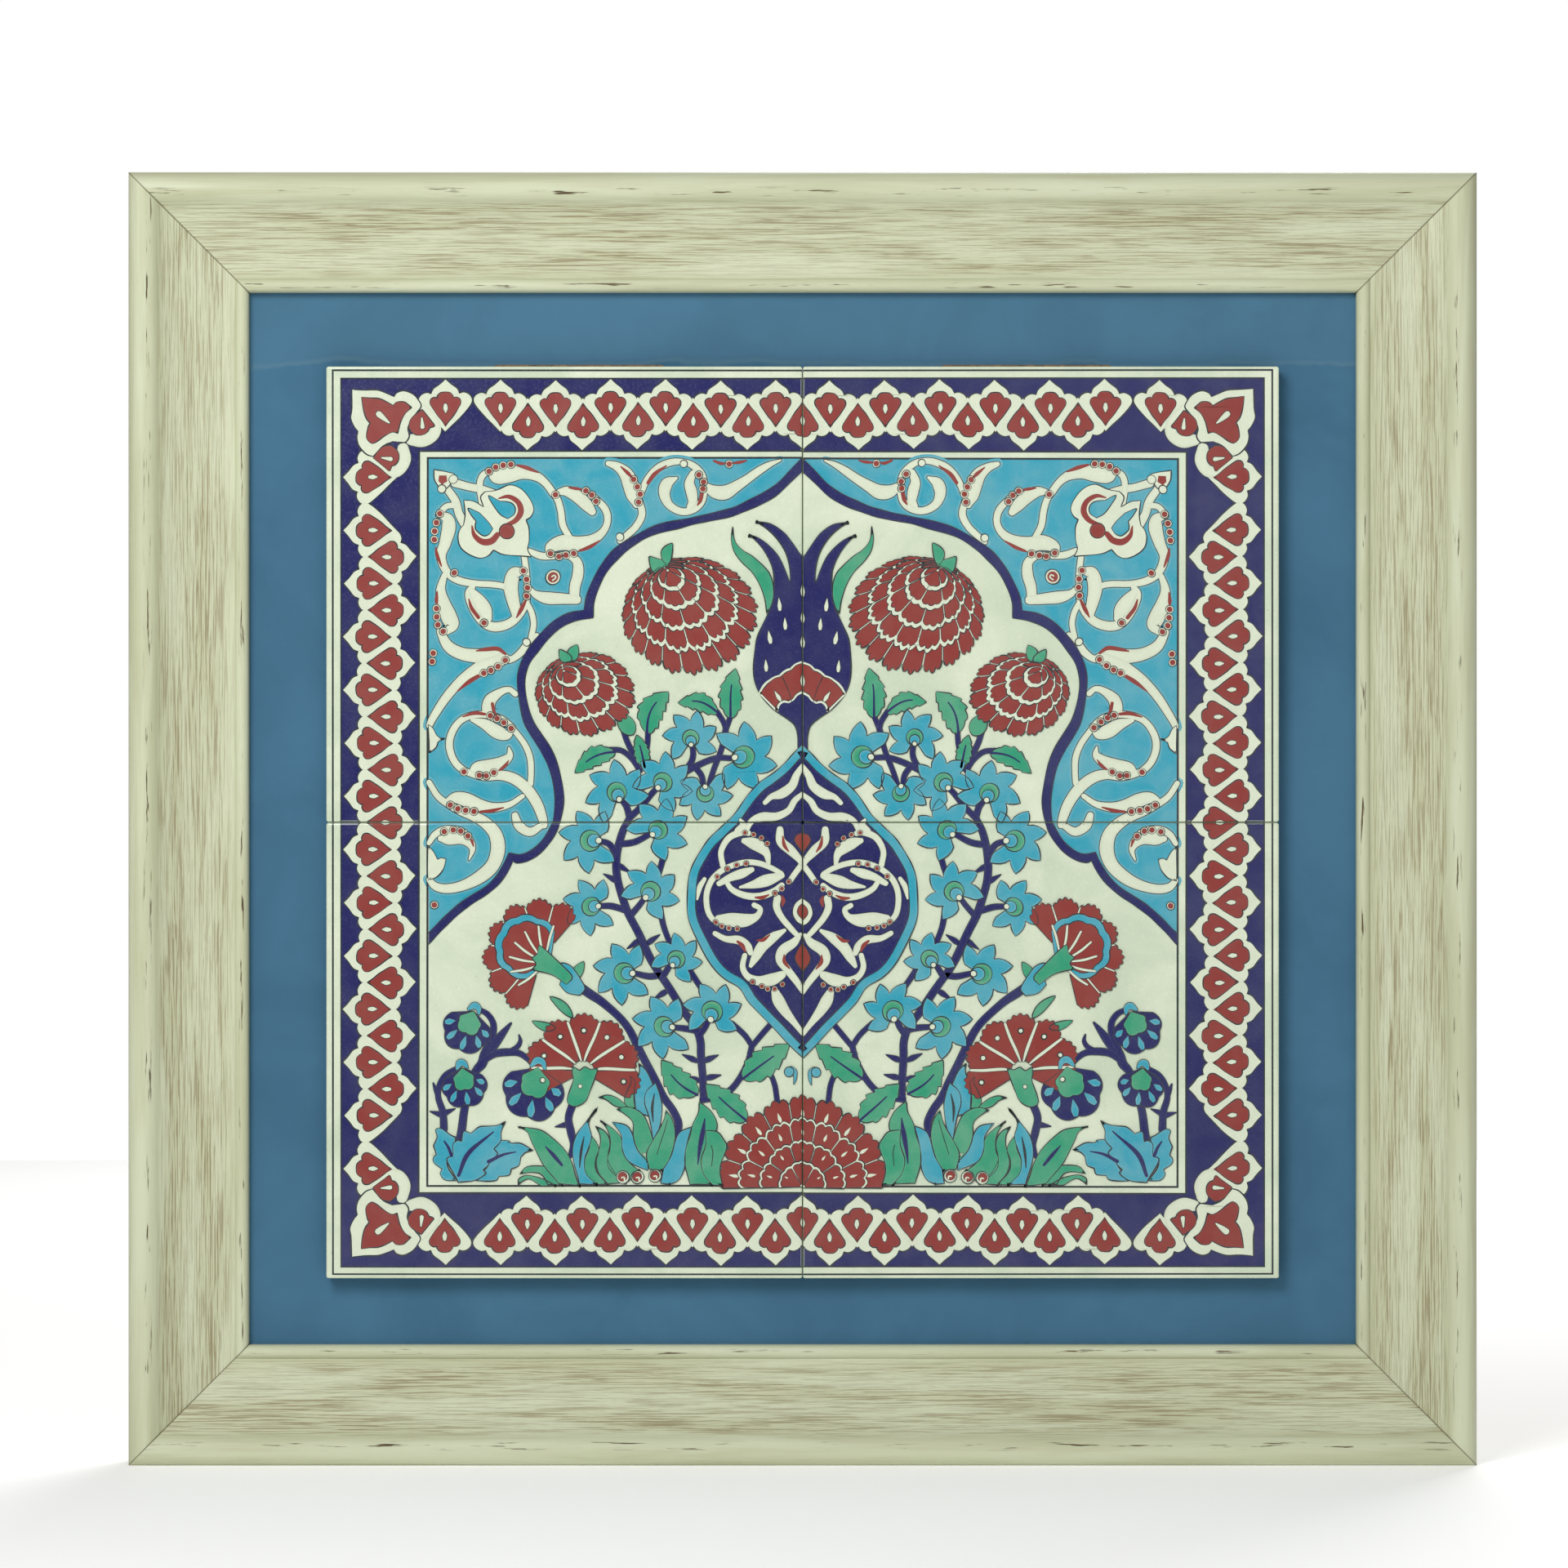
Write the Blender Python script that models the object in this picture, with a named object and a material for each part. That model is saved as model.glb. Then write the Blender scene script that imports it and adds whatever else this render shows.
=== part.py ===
"""Framed panel of four painted ceramic tiles, built as its maker would: four mitred rails, a backing board with
a blue card, four tiles bedded on adhesive, and the hardware behind that holds the board in and hangs the frame.

Metres, +Z up. The frame hangs upright: X runs across it, its face looks along -Y and the wall is the plane Y = 0.
The origin is the middle of the frame in the plane of the wall, so a piece d metres off the wall is at Y = -d."""

import math

import bmesh
import bpy
from mathutils import Vector

MM = 0.001

# Driving dimensions.
FRAME_WIDTH = 579.6 * MM
FRAME_HEIGHT = 555.5 * MM
RAIL_WIDTH = 51.0 * MM
RAIL_DEPTH = 27.0 * MM
REBATE_WIDTH = 8.0 * MM
REBATE_DEPTH = 10.0 * MM
WALL_GAP = 5.0 * MM
PANEL_WIDTH = 409.5 * MM
PANEL_HEIGHT = 392.0 * MM
PANEL_DROP = 1.6 * MM
TILE_THICKNESS = 8.0 * MM
TILE_EDGE_ROUND = 1.0 * MM
CARD_THICKNESS = 1.2 * MM
ADHESIVE_THICKNESS = 2.0 * MM
BED_INSET = 10.0 * MM
LIP_LENGTH = 76.0 * MM
LIP_SHOWS = 1.2 * MM
LIP_ROUND = 3.0 * MM
LIP_OFFSET = 6.0 * MM
GAP = 0.3 * MM

# Distances off the wall, worked out from the back of the object to its front.
RAIL_BACK = WALL_GAP
REBATE_LIP = RAIL_BACK + REBATE_DEPTH
CARD_FRONT = REBATE_LIP - GAP
CARD_BACK = CARD_FRONT - CARD_THICKNESS
BOARD_FRONT = CARD_BACK - GAP
BOARD_BACK = RAIL_BACK
ADHESIVE_BACK = CARD_FRONT + GAP
ADHESIVE_FRONT = ADHESIVE_BACK + ADHESIVE_THICKNESS
TILE_BACK = ADHESIVE_FRONT + GAP
TILE_FRONT = TILE_BACK + TILE_THICKNESS

BOARD_WIDTH = FRAME_WIDTH - 2 * (RAIL_WIDTH - REBATE_WIDTH) - 2 * GAP
BOARD_HEIGHT = FRAME_HEIGHT - 2 * (RAIL_WIDTH - REBATE_WIDTH) - 2 * GAP

# The moulding's section: a round outer bead, a long scoop and a small bead along the sight edge.
OUTER_BEAD = 7.0 * MM
OUTER_BEAD_END = 40
SIGHT_BEAD = 3.0 * MM
SIGHT_BEAD_HEIGHT = 13.5 * MM
SCOOP_LOW = 14.5 * MM
SCOOP_STEEP = 8.0 * MM
SCOOP_FLAT = 12.5 * MM
ARC_STEPS = 6
SCOOP_STEPS = 10

# The hardware.
PLATE = 1.2 * MM
SCREW_SHANK = 1.5 * MM
SCREW_LENGTH = 10.0 * MM
SCREW_HEAD = 3.2 * MM
SCREW_HEAD_HEIGHT = 1.4 * MM
SCREW_SIDES = 12
ROUND_SIDES = 24
BUTTON_FROM_EDGE = 35.0 * MM
BUTTON_REACH = 17.0 * MM
BUTTON_ROOT = 5.0 * MM
BUTTON_TIP = 3.5 * MM
BUTTON_STEPS = 8
STRAP_FROM_EDGE = 20.0 * MM
STRAP_WIDTH = 12.0 * MM
STRAP_LENGTH = 42.0 * MM
STRAP_PLATE = 1.0 * MM
STRAP_TOP = 165.0 * MM
STRAP_HOLES = (20.0 * MM, 34.0 * MM)
RING_WIRE = 1.0 * MM
RING_HALF_WIDTH = 9.5 * MM
RING_DROP = 15.0 * MM
BARREL_CLEARANCE = 0.3 * MM
WEDGE_LEG = 8.0 * MM
WEDGE_STRIP = 0.7 * MM
WEDGE_HEIGHT = 8.0 * MM
WEDGE_PLACES = (14.0 * MM, 27.0 * MM)
BUMPER_RADIUS = 6.0 * MM
BUMPER_FROM_SIDE = 40.0 * MM
BUMPER_FROM_BOTTOM = 20.0 * MM

BUTTON_PLATE_BACK = RAIL_BACK - GAP
BUTTON_PLATE_FACE = BUTTON_PLATE_BACK - PLATE
STRAP_BACK = RAIL_BACK - GAP
STRAP_FACE = STRAP_BACK - STRAP_PLATE
BARREL_INNER = RING_WIRE + BARREL_CLEARANCE
BARREL_OUTER = BARREL_INNER + STRAP_PLATE
BARREL_AXIS = STRAP_BACK - BARREL_OUTER


def clear_scene():
    for obj in list(bpy.data.objects):
        bpy.data.objects.remove(obj)


def material(name, colour, roughness, metallic=0.0):
    made = bpy.data.materials.new(name)
    made.use_nodes = True
    shader = made.node_tree.nodes["Principled BSDF"]
    shader.inputs["Base Color"].default_value = (*colour, 1.0)
    shader.inputs["Roughness"].default_value = roughness
    shader.inputs["Metallic"].default_value = metallic
    return made


def link(name, data, finish, parent=None):
    obj = bpy.data.objects.new(name, data)
    bpy.context.scene.collection.objects.link(obj)
    if finish is not None:
        data.materials.append(finish)
    obj.parent = parent
    return obj


def mesh_from(name, bm):
    """Turns the faces outwards and hands the mesh over."""
    bmesh.ops.recalc_face_normals(bm, faces=bm.faces)
    mesh = bpy.data.meshes.new(name)
    bm.to_mesh(mesh)
    bm.free()
    return mesh


def arc(centre, radius, start, end, steps):
    """Points along an arc, from one angle in degrees to another."""
    angles = [math.radians(start + (end - start) * i / steps) for i in range(steps + 1)]
    return [(centre[0] + radius * math.cos(a), centre[1] + radius * math.sin(a)) for a in angles]


def bezier(a, b, c, d, steps):
    """Points along a cubic curve from a to d, without its ends."""
    points = []
    for i in range(1, steps):
        t = i / steps
        s = 1 - t
        weights = (s**3, 3 * s * s * t, 3 * s * t * t, t**3)
        points.append(tuple(sum(w * p[k] for w, p in zip(weights, (a, b, c, d))) for k in (0, 1)))
    return points


def prism(bm, outline, place, thickness):
    """Adds an outline pushed through a thickness. place turns a point of the outline and a depth into a corner."""
    near = [bm.verts.new(place(p, 0.0)) for p in outline]
    far = [bm.verts.new(place(p, thickness)) for p in outline]
    bm.faces.new(near)
    bm.faces.new(far)
    count = len(outline)
    for i in range(count):
        j = (i + 1) % count
        bm.faces.new((near[i], near[j], far[j], far[i]))


def off_wall(start):
    """A prism that lies parallel to the wall, starting that far off it and growing towards the room."""
    return lambda p, depth: Vector((p[0], -(start + depth), p[1]))


def circle(centre, radius, sides=ROUND_SIDES):
    return arc(centre, radius, 0, 360 * (sides - 1) / sides, sides - 1)


def screw_hole(place):
    return circle(place, SCREW_SHANK + GAP, SCREW_SIDES)


def slab(name, width, height, back, front, finish):
    bm = bmesh.new()
    x, z = width / 2, height / 2
    prism(bm, [(-x, -z), (x, -z), (x, z), (-x, z)], off_wall(back), front - back)
    return link(name, mesh_from(name, bm), finish)


def cut(obj, bm):
    """Cuts the shape in bm out of obj, with a hidden cutter."""
    cutter = link(obj.name + "_cutter", mesh_from(obj.name + "_cutter", bm), None)
    cutter.hide_render = True
    cutter.display_type = "WIRE"
    modifier = obj.modifiers.new("Cut", "BOOLEAN")
    modifier.operation = "DIFFERENCE"
    modifier.object = cutter


def shade_round(mesh, angle=40):
    mesh.shade_smooth()
    mesh.set_sharp_from_angle(angle=math.radians(angle))


# The frame.

# Each side's name and the way from the frame's middle to it, going round clockwise as seen from the front.
SIDES = {
    "top": Vector((0, 0, 1)),
    "right": Vector((1, 0, 0)),
    "bottom": Vector((0, 0, -1)),
    "left": Vector((-1, 0, 0)),
}


def half_across(side):
    """From the frame's middle to the outer edge of that side."""
    return (FRAME_HEIGHT if side in ("top", "bottom") else FRAME_WIDTH) / 2


def half_along(side):
    return (FRAME_WIDTH if side in ("top", "bottom") else FRAME_HEIGHT) / 2


def rail_section():
    """The moulding's section as (distance in from the outer edge, distance off the rail's back)."""
    outer = arc((OUTER_BEAD, RAIL_DEPTH - OUTER_BEAD), OUTER_BEAD, 180, OUTER_BEAD_END, 2 * ARC_STEPS)
    start = 180 - math.degrees(math.asin((SCOOP_LOW - SIGHT_BEAD_HEIGHT) / SIGHT_BEAD))
    sight = arc((RAIL_WIDTH - SIGHT_BEAD, SIGHT_BEAD_HEIGHT), SIGHT_BEAD, start, 0, ARC_STEPS)
    slope = math.radians(OUTER_BEAD_END)
    top, foot = outer[-1], sight[0]
    leave = (top[0] + SCOOP_STEEP * math.sin(slope), top[1] - SCOOP_STEEP * math.cos(slope))
    scoop = bezier(top, leave, (foot[0] - SCOOP_FLAT, SCOOP_LOW), foot, SCOOP_STEPS)
    rebate = RAIL_WIDTH - REBATE_WIDTH
    back = [(RAIL_WIDTH, REBATE_DEPTH), (rebate, REBATE_DEPTH), (rebate, 0.0), (0.0, 0.0)]
    return outer + scoop + sight + back


def wedge_outline(grow=0.0):
    """A V of thin strip, its point at (0, 0) and its legs along -X and -Z, grown by a clearance all round."""
    far, near = WEDGE_STRIP / 2 + grow, -WEDGE_STRIP / 2 - grow
    end = -WEDGE_LEG - grow
    return [(far, far), (end, far), (end, near), (near, near), (near, end), (far, end)]


CORNERS = {"top_right": (1, 1), "top_left": (-1, 1), "bottom_right": (1, -1), "bottom_left": (-1, -1)}


def wedge_outlines(corner, grow=0.0):
    """The V's outline at each place along a mitre, as lists of X and Z."""
    sx, sz = CORNERS[corner]
    for inset in WEDGE_PLACES:
        x, z = FRAME_WIDTH / 2 - inset, FRAME_HEIGHT / 2 - inset
        yield [(sx * (x + p[0]), sz * (z + p[1])) for p in wedge_outline(grow)]


def make_rails(finish):
    section = rail_section()
    rails = {}
    for turn, side in enumerate(SIDES):
        bm = bmesh.new()
        ends = []
        for sign in (-1, 1):
            reach = [sign * (half_along(side) - u - GAP / 2) for u, _ in section]
            corners = [Vector((x, -(RAIL_BACK + d), -u)) for x, (u, d) in zip(reach, section)]
            ends.append([bm.verts.new(c) for c in corners])
        bm.faces.new(ends[0])
        bm.faces.new(ends[1])
        for i in range(len(section)):
            j = (i + 1) % len(section)
            bm.faces.new((ends[0][i], ends[0][j], ends[1][j], ends[1][i]))
        name = f"rail_{side}"
        rail = link(name, mesh_from(name, bm), finish)
        rail.rotation_euler = (0, math.radians(90) * turn, 0)
        rail.location = SIDES[side] * half_across(side)
        shade_round(rail.data)
        rails[side] = rail
    return rails


def cut_rails(rails):
    """Kerfs for the corner wedges and pilot holes for the screws."""
    for side, rail in rails.items():
        bm = bmesh.new()
        for corner in CORNERS:
            if side in corner.split("_"):
                for outline in wedge_outlines(corner, GAP):
                    prism(bm, outline, off_wall(RAIL_BACK - GAP), WEDGE_HEIGHT + 2 * GAP)
        for place in screw_places(side):
            start = RAIL_BACK - GAP
            prism(bm, screw_hole(place), off_wall(start), SCREW_LENGTH + 2 * GAP)
        cut(rail, bm)


def make_wedges(finish):
    for corner in CORNERS:
        for label, outline in zip(("outer", "inner"), wedge_outlines(corner)):
            bm = bmesh.new()
            prism(bm, outline, off_wall(RAIL_BACK), WEDGE_HEIGHT)
            name = f"corner_wedge_{corner}_{label}"
            link(name, mesh_from(name, bm), finish)


# The panel.


def tile_size():
    return (PANEL_WIDTH - GAP) / 2, (PANEL_HEIGHT - GAP) / 2


def tile_centre(sx, sz):
    width, height = tile_size()
    return sx * (width + GAP) / 2, 0, sz * (height + GAP) / 2 - PANEL_DROP


def make_tiles(finish):
    width, height = tile_size()
    for corner, (sx, sz) in CORNERS.items():
        tile = slab(f"tile_{corner}", width, height, TILE_BACK, TILE_FRONT, finish)
        tile.location = tile_centre(sx, sz)
        rounding = tile.modifiers.new("Round edges", "BEVEL")
        rounding.width = TILE_EDGE_ROUND
        rounding.segments = 3


def make_adhesive(finish):
    """A trowelled bed under each tile. Under the upper tiles a long lip of it shows along the upper edge."""
    width, height = tile_size()
    for corner, (sx, sz) in CORNERS.items():
        x, z = width / 2 - BED_INSET, height / 2 - BED_INSET
        outline = [(-x, z), (-x, -z), (x, -z), (x, z)]
        if sz > 0:
            lip_top = height / 2 + LIP_SHOWS
            ends = (LIP_LENGTH / 2 - LIP_ROUND, lip_top - LIP_ROUND)
            middle = -sx * LIP_OFFSET
            outline += [(middle + LIP_LENGTH / 2, z)]
            outline += arc((middle + ends[0], ends[1]), LIP_ROUND, 0, 90, ARC_STEPS)
            outline += arc((middle - ends[0], ends[1]), LIP_ROUND, 90, 180, ARC_STEPS)
            outline += [(middle - LIP_LENGTH / 2, z)]
        bm = bmesh.new()
        prism(bm, outline, off_wall(ADHESIVE_BACK), ADHESIVE_THICKNESS)
        name = f"adhesive_{corner}"
        bed = link(name, mesh_from(name, bm), finish)
        bed.location = tile_centre(sx, sz)


def make_backing(board_finish, card_finish):
    slab("backing_board", BOARD_WIDTH, BOARD_HEIGHT, BOARD_BACK, BOARD_FRONT, board_finish)
    slab("blue_card", BOARD_WIDTH, BOARD_HEIGHT, CARD_BACK, CARD_FRONT, card_finish)


# The hardware behind.


def button_place(side):
    """X and Z of the pivot of a side's turn button, in the middle of its rail."""
    place = SIDES[side] * (half_across(side) - BUTTON_FROM_EDGE)
    return place.x, place.z


def strap_x(side):
    return SIDES[side].x * (FRAME_WIDTH / 2 - STRAP_FROM_EDGE)


def strap_screws(side):
    return [(strap_x(side), STRAP_TOP - down) for down in STRAP_HOLES]


def screw_places(side):
    return [button_place(side)] + (strap_screws(side) if side in ("left", "right") else [])


def make_turn_buttons(finish):
    """A flat tongue on a screw: it turns over the board's edge to hold it, or along the rail to let it out."""
    tip = BUTTON_REACH - BUTTON_TIP
    outline = arc((0, 0), BUTTON_ROOT, 90, 270, BUTTON_STEPS) + arc((tip, 0), BUTTON_TIP, -90, 90, BUTTON_STEPS)
    for side, outwards in SIDES.items():
        x, z = button_place(side)
        bm = bmesh.new()
        prism(bm, outline, lambda p, depth: Vector((p[0], depth, p[1])), PLATE)
        name = f"turn_button_{side}"
        tongue = link(name, mesh_from(name, bm), finish)
        tongue.location = (x, -BUTTON_PLATE_BACK, z)
        tongue.rotation_euler = (0, -math.atan2(-outwards.z, -outwards.x), 0)
        hole = bmesh.new()
        prism(hole, screw_hole((x, z)), off_wall(BUTTON_PLATE_FACE - GAP), PLATE + 2 * GAP)
        cut(tongue, hole)


def place_screw(name, place, under_head, finish):
    """A round-headed screw, turned about its own axis: its shank runs from under the head into the rail."""
    bm = bmesh.new()
    x, z = place
    profile = [(0.0, SCREW_HEAD_HEIGHT)]
    profile += [
        (SCREW_HEAD * math.sin(math.radians(a)), SCREW_HEAD_HEIGHT * math.cos(math.radians(a))) for a in (30, 60, 90)
    ]
    foot = -(SCREW_LENGTH - (RAIL_BACK - under_head))
    profile += [(SCREW_SHANK, 0.0), (SCREW_SHANK, foot + 2 * SCREW_SHANK), (0.0, foot)]
    rings = []
    for radius, height in profile:
        if radius == 0.0:
            rings.append([bm.verts.new((x, -under_head + height, z))])
            continue
        ring = [(x + px, -under_head + height, z + pz) for px, pz in circle((0, 0), radius, SCREW_SIDES)]
        rings.append([bm.verts.new(p) for p in ring])
    for upper, lower in zip(rings, rings[1:]):
        for i in range(SCREW_SIDES):
            j = (i + 1) % SCREW_SIDES
            corners = [upper[i % len(upper)], upper[j % len(upper)], lower[j % len(lower)], lower[i % len(lower)]]
            bm.faces.new(list(dict.fromkeys(corners)))
    screw = link(name, mesh_from(name, bm), finish)
    shade_round(screw.data)


def make_screws(finish):
    for side in SIDES:
        place_screw(f"turn_button_screw_{side}", button_place(side), BUTTON_PLATE_FACE - GAP, finish)
    for side in ("left", "right"):
        for label, place in zip(("upper", "lower"), strap_screws(side)):
            place_screw(f"hanger_screw_{side}_{label}", place, STRAP_FACE - GAP, finish)


def strap_section():
    """The strap seen from its edge, as (distance off the wall, height from the barrel's axis): plate and curl."""
    centre = (BARREL_AXIS, 0.0)
    outer = arc(centre, BARREL_OUTER, 0, 285, 16)
    inner = arc(centre, BARREL_INNER, 285, 0, 14)
    return [(STRAP_BACK, -STRAP_LENGTH)] + outer + inner + [(STRAP_FACE, -STRAP_LENGTH)]


def make_hangers(finish):
    """On each side rail: a strap screwed to the wood, with a ring swinging in its curled upper end."""
    for side in ("left", "right"):
        bm = bmesh.new()
        half = STRAP_WIDTH / 2
        prism(bm, strap_section(), lambda p, depth: Vector((depth - half, -p[0], p[1])), STRAP_WIDTH)
        name = f"hanger_strap_{side}"
        strap = link(name, mesh_from(name, bm), finish)
        strap.location = (strap_x(side), 0, STRAP_TOP)
        holes = bmesh.new()
        for place in strap_screws(side):
            start = STRAP_FACE - GAP
            prism(holes, screw_hole(place), off_wall(start), STRAP_PLATE + 2 * GAP)
        cut(strap, holes)
        ring = link(f"hanger_ring_{side}", ring_curve(f"hanger_ring_{side}"), finish)
        ring.location = (strap_x(side), -BARREL_AXIS, STRAP_TOP)


def ring_curve(name):
    """A D of round wire hanging from its straight bar, which lies along X through the origin."""
    corner = 2.6 * MM
    bow = RING_DROP - corner
    across = RING_HALF_WIDTH
    turn_left = arc((-across + corner, -corner), corner, 90, 180, 4)
    turn_right = arc((across - corner, -corner), corner, 0, 90, 4)
    around = [
        (across * math.cos(math.radians(a)), -corner + bow * math.sin(math.radians(a))) for a in range(195, 346, 15)
    ]
    path = turn_left + around + turn_right
    curve = bpy.data.curves.new(name, "CURVE")
    curve.dimensions = "3D"
    curve.bevel_depth = RING_WIRE
    curve.bevel_resolution = 2
    spline = curve.splines.new("POLY")
    spline.points.add(len(path) - 1)
    for point, (x, z) in zip(spline.points, path):
        point.co = (x, 0, z, 1)
    spline.use_cyclic_u = True
    return curve


def make_bumpers(finish):
    for side, sign in (("left", -1), ("right", 1)):
        bm = bmesh.new()
        place = (sign * (FRAME_WIDTH / 2 - BUMPER_FROM_SIDE), -FRAME_HEIGHT / 2 + BUMPER_FROM_BOTTOM)
        prism(bm, circle(place, BUMPER_RADIUS), off_wall(0.0), RAIL_BACK - GAP)
        name = f"bumper_{side}"
        link(name, mesh_from(name, bm), finish)


def main():
    clear_scene()
    steel = material("zinc_steel", (0.62, 0.62, 0.60), 0.35, 1.0)
    rails = make_rails(material("limed_wood", (0.60, 0.62, 0.46), 0.55))
    cut_rails(rails)
    make_wedges(steel)
    make_backing(material("fibreboard", (0.30, 0.19, 0.10), 0.85), material("blue_card", (0.05, 0.14, 0.24), 0.8))
    make_adhesive(material("adhesive", (0.22, 0.12, 0.04), 0.6))
    make_tiles(material("glazed_tile", (0.66, 0.68, 0.55), 0.12))
    make_turn_buttons(steel)
    make_screws(steel)
    make_hangers(steel)
    make_bumpers(material("felt", (0.05, 0.05, 0.05), 0.95))


main()
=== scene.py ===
"""Framed panel of four painted ceramic tiles: the looks.

Laid out as a Blender add-on and run as a script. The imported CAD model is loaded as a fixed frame.
The rails are made again with a finer surface. The tiles, card, board and hardware keep their CAD
shapes and get materials. The picture is brushwork: thin sheets of colour a few hundredths of a
millimetre apart, laid on the four tiles."""

import math

import bmesh
import bpy
import numpy as np
from bpy.props import FloatProperty, FloatVectorProperty, PointerProperty
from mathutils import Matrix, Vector
from mathutils.geometry import tessellate_polygon


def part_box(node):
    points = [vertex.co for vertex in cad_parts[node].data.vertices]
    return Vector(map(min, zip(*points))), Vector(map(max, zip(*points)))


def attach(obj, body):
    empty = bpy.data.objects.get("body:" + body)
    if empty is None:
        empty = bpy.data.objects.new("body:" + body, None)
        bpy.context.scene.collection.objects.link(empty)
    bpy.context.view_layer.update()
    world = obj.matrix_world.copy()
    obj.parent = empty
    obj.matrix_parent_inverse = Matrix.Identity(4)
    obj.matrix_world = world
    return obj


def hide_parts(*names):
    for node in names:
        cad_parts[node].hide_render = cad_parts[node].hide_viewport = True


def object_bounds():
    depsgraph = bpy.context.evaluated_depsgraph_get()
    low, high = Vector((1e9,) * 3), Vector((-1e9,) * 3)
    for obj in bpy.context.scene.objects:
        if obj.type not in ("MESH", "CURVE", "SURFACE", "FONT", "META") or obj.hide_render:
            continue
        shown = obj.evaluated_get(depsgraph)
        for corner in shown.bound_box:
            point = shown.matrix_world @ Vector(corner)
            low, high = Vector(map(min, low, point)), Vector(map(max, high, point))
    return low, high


bl_info = {
    "name": "Framed painted tiles",
    "version": (1, 0, 0),
    "blender": (4, 5, 0),
    "location": "View3D > Sidebar > Tiles",
    "description": "Dresses the framed panel of four painted tiles",
    "category": "Object",
}

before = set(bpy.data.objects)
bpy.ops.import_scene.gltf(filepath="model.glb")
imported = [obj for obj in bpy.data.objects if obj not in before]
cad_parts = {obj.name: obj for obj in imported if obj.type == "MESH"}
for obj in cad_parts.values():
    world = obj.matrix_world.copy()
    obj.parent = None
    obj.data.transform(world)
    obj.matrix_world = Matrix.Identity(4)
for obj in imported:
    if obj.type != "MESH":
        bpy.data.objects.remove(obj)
CAD_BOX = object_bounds()
MM = 0.001
SIDES = ("top", "right", "bottom", "left")
CORNERS = {"top_left": (-1, 1), "top_right": (1, 1), "bottom_left": (-1, -1), "bottom_right": (1, -1)}
BODY = "frame"

TILE_LOW, TILE_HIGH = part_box("tile_top_left")
TILE_FACE = TILE_LOW.y
JOINT_X = (TILE_HIGH.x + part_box("tile_top_right")[0].x) / 2
JOINT_Z = (TILE_LOW.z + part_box("tile_bottom_left")[1].z) / 2
JOINT_HALF = -TILE_HIGH.x
TILE_ROUND = 1.0 * MM


# Materials.


class Socket:
    """A value in a shader that Python's operators can add nodes to."""

    def __init__(self, shader, link):
        self.shader, self.link = shader, link

    def maths(self, operation, *values, swap=False):
        values = (*values, self) if swap else (self, *values)
        return self.shader.node("ShaderNodeMath", {"operation": operation}, dict(enumerate(values)))

    def __add__(self, other):
        return self.maths("ADD", other)

    def __sub__(self, other):
        return self.maths("SUBTRACT", other)

    def __mul__(self, other):
        return self.maths("MULTIPLY", other)

    def __rsub__(self, other):
        return self.maths("SUBTRACT", other, swap=True)

    __radd__ = __add__
    __rmul__ = __mul__

    def over(self, low, high):
        """0 at or under low, 1 at or over high, and a smooth ramp between them."""
        settings = {"interpolation_type": "SMOOTHSTEP"}
        return self.shader.node("ShaderNodeMapRange", settings,
                {"Value": self, "From Min": low, "From Max": high})


class Shader:
    """A material on one Principled node, with one method that adds any other node."""

    def __init__(self, name, colour=(0.8, 0.8, 0.8), roughness=0.5, metallic=0.0, coat=0.0, specular=0.5):
        self.material = bpy.data.materials.new(name)
        self.material.use_nodes = True
        self.tree = self.material.node_tree
        self.principled = self.tree.nodes["Principled BSDF"]
        self.set("Base Color", (*colour, 1.0))
        self.set("Roughness", roughness)
        self.set("Metallic", metallic)
        self.set("Coat Weight", coat)
        self.set("Specular IOR Level", specular)
        self.material.diffuse_color = (*colour, 1.0)

    def set(self, name, value):
        self.join(value, self.principled.inputs[name])

    def join(self, value, target):
        if isinstance(value, Socket):
            self.tree.links.new(value.link, target)
        else:
            target.default_value = value

    def node(self, kind, settings=None, inputs=None, output=0):
        """Adds a node: its settings first, then the values or links of its sockets. Returns one of
        its outputs."""
        made = self.tree.nodes.new(kind)
        for name, value in (settings or {}).items():
            setattr(made, name, value)
        for name, value in (inputs or {}).items():
            self.join(value, made.inputs[name])
        return Socket(self, made.outputs[output])

    def place(self, scale=(1.0, 1.0, 1.0)):
        """The place on the object in metres, stretched by a scale along each axis."""
        here = self.node("ShaderNodeTexCoord", output="Object")
        return self.node("ShaderNodeMapping", None, {"Vector": here, "Scale": scale})

    def along(self, scale):
        """The piece's own UV map, in metres along and across it, stretched by a scale."""
        here = self.node("ShaderNodeUVMap", {"uv_map": "surface"})
        return self.node("ShaderNodeMapping", None, {"Vector": here, "Scale": scale})

    def noise(self, vector, scale, detail=3.0, roughness=0.5, distortion=0.0):
        inputs = {"Vector": vector, "Scale": scale, "Detail": detail, "Roughness": roughness,
                "Distortion": distortion}
        return self.node("ShaderNodeTexNoise", None, inputs)

    def mix(self, share, first, second):
        """A colour between two others: first where share is 0, second where it is 1."""
        colours = [(*c, 1.0) if isinstance(c, tuple) and len(c) == 3 else c for c in (first, second)]
        mixed = {"Factor": share, 6: colours[0], 7: colours[1]}
        return self.node("ShaderNodeMix", {"data_type": "RGBA", "clamp_factor": True}, mixed, output=2)

    def bump(self, height, depth, strength=1.0):
        """Raises the surface by depth metres where height is 1."""
        self.set("Normal", self.node("ShaderNodeBump", None,
                {"Height": height, "Distance": depth, "Strength": strength}))

    def attribute(self, name):
        return self.node("ShaderNodeAttribute", {"attribute_name": name}, output="Fac")


def srgb(red, green, blue):
    """A colour given as screen values from 0 to 255, as the linear numbers a shader takes."""
    values = np.array([red, green, blue]) / 255
    return tuple(float(v) for v in np.where(values <= 0.04045, values / 12.92,
            ((values + 0.055) / 1.055) ** 2.4))


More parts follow.
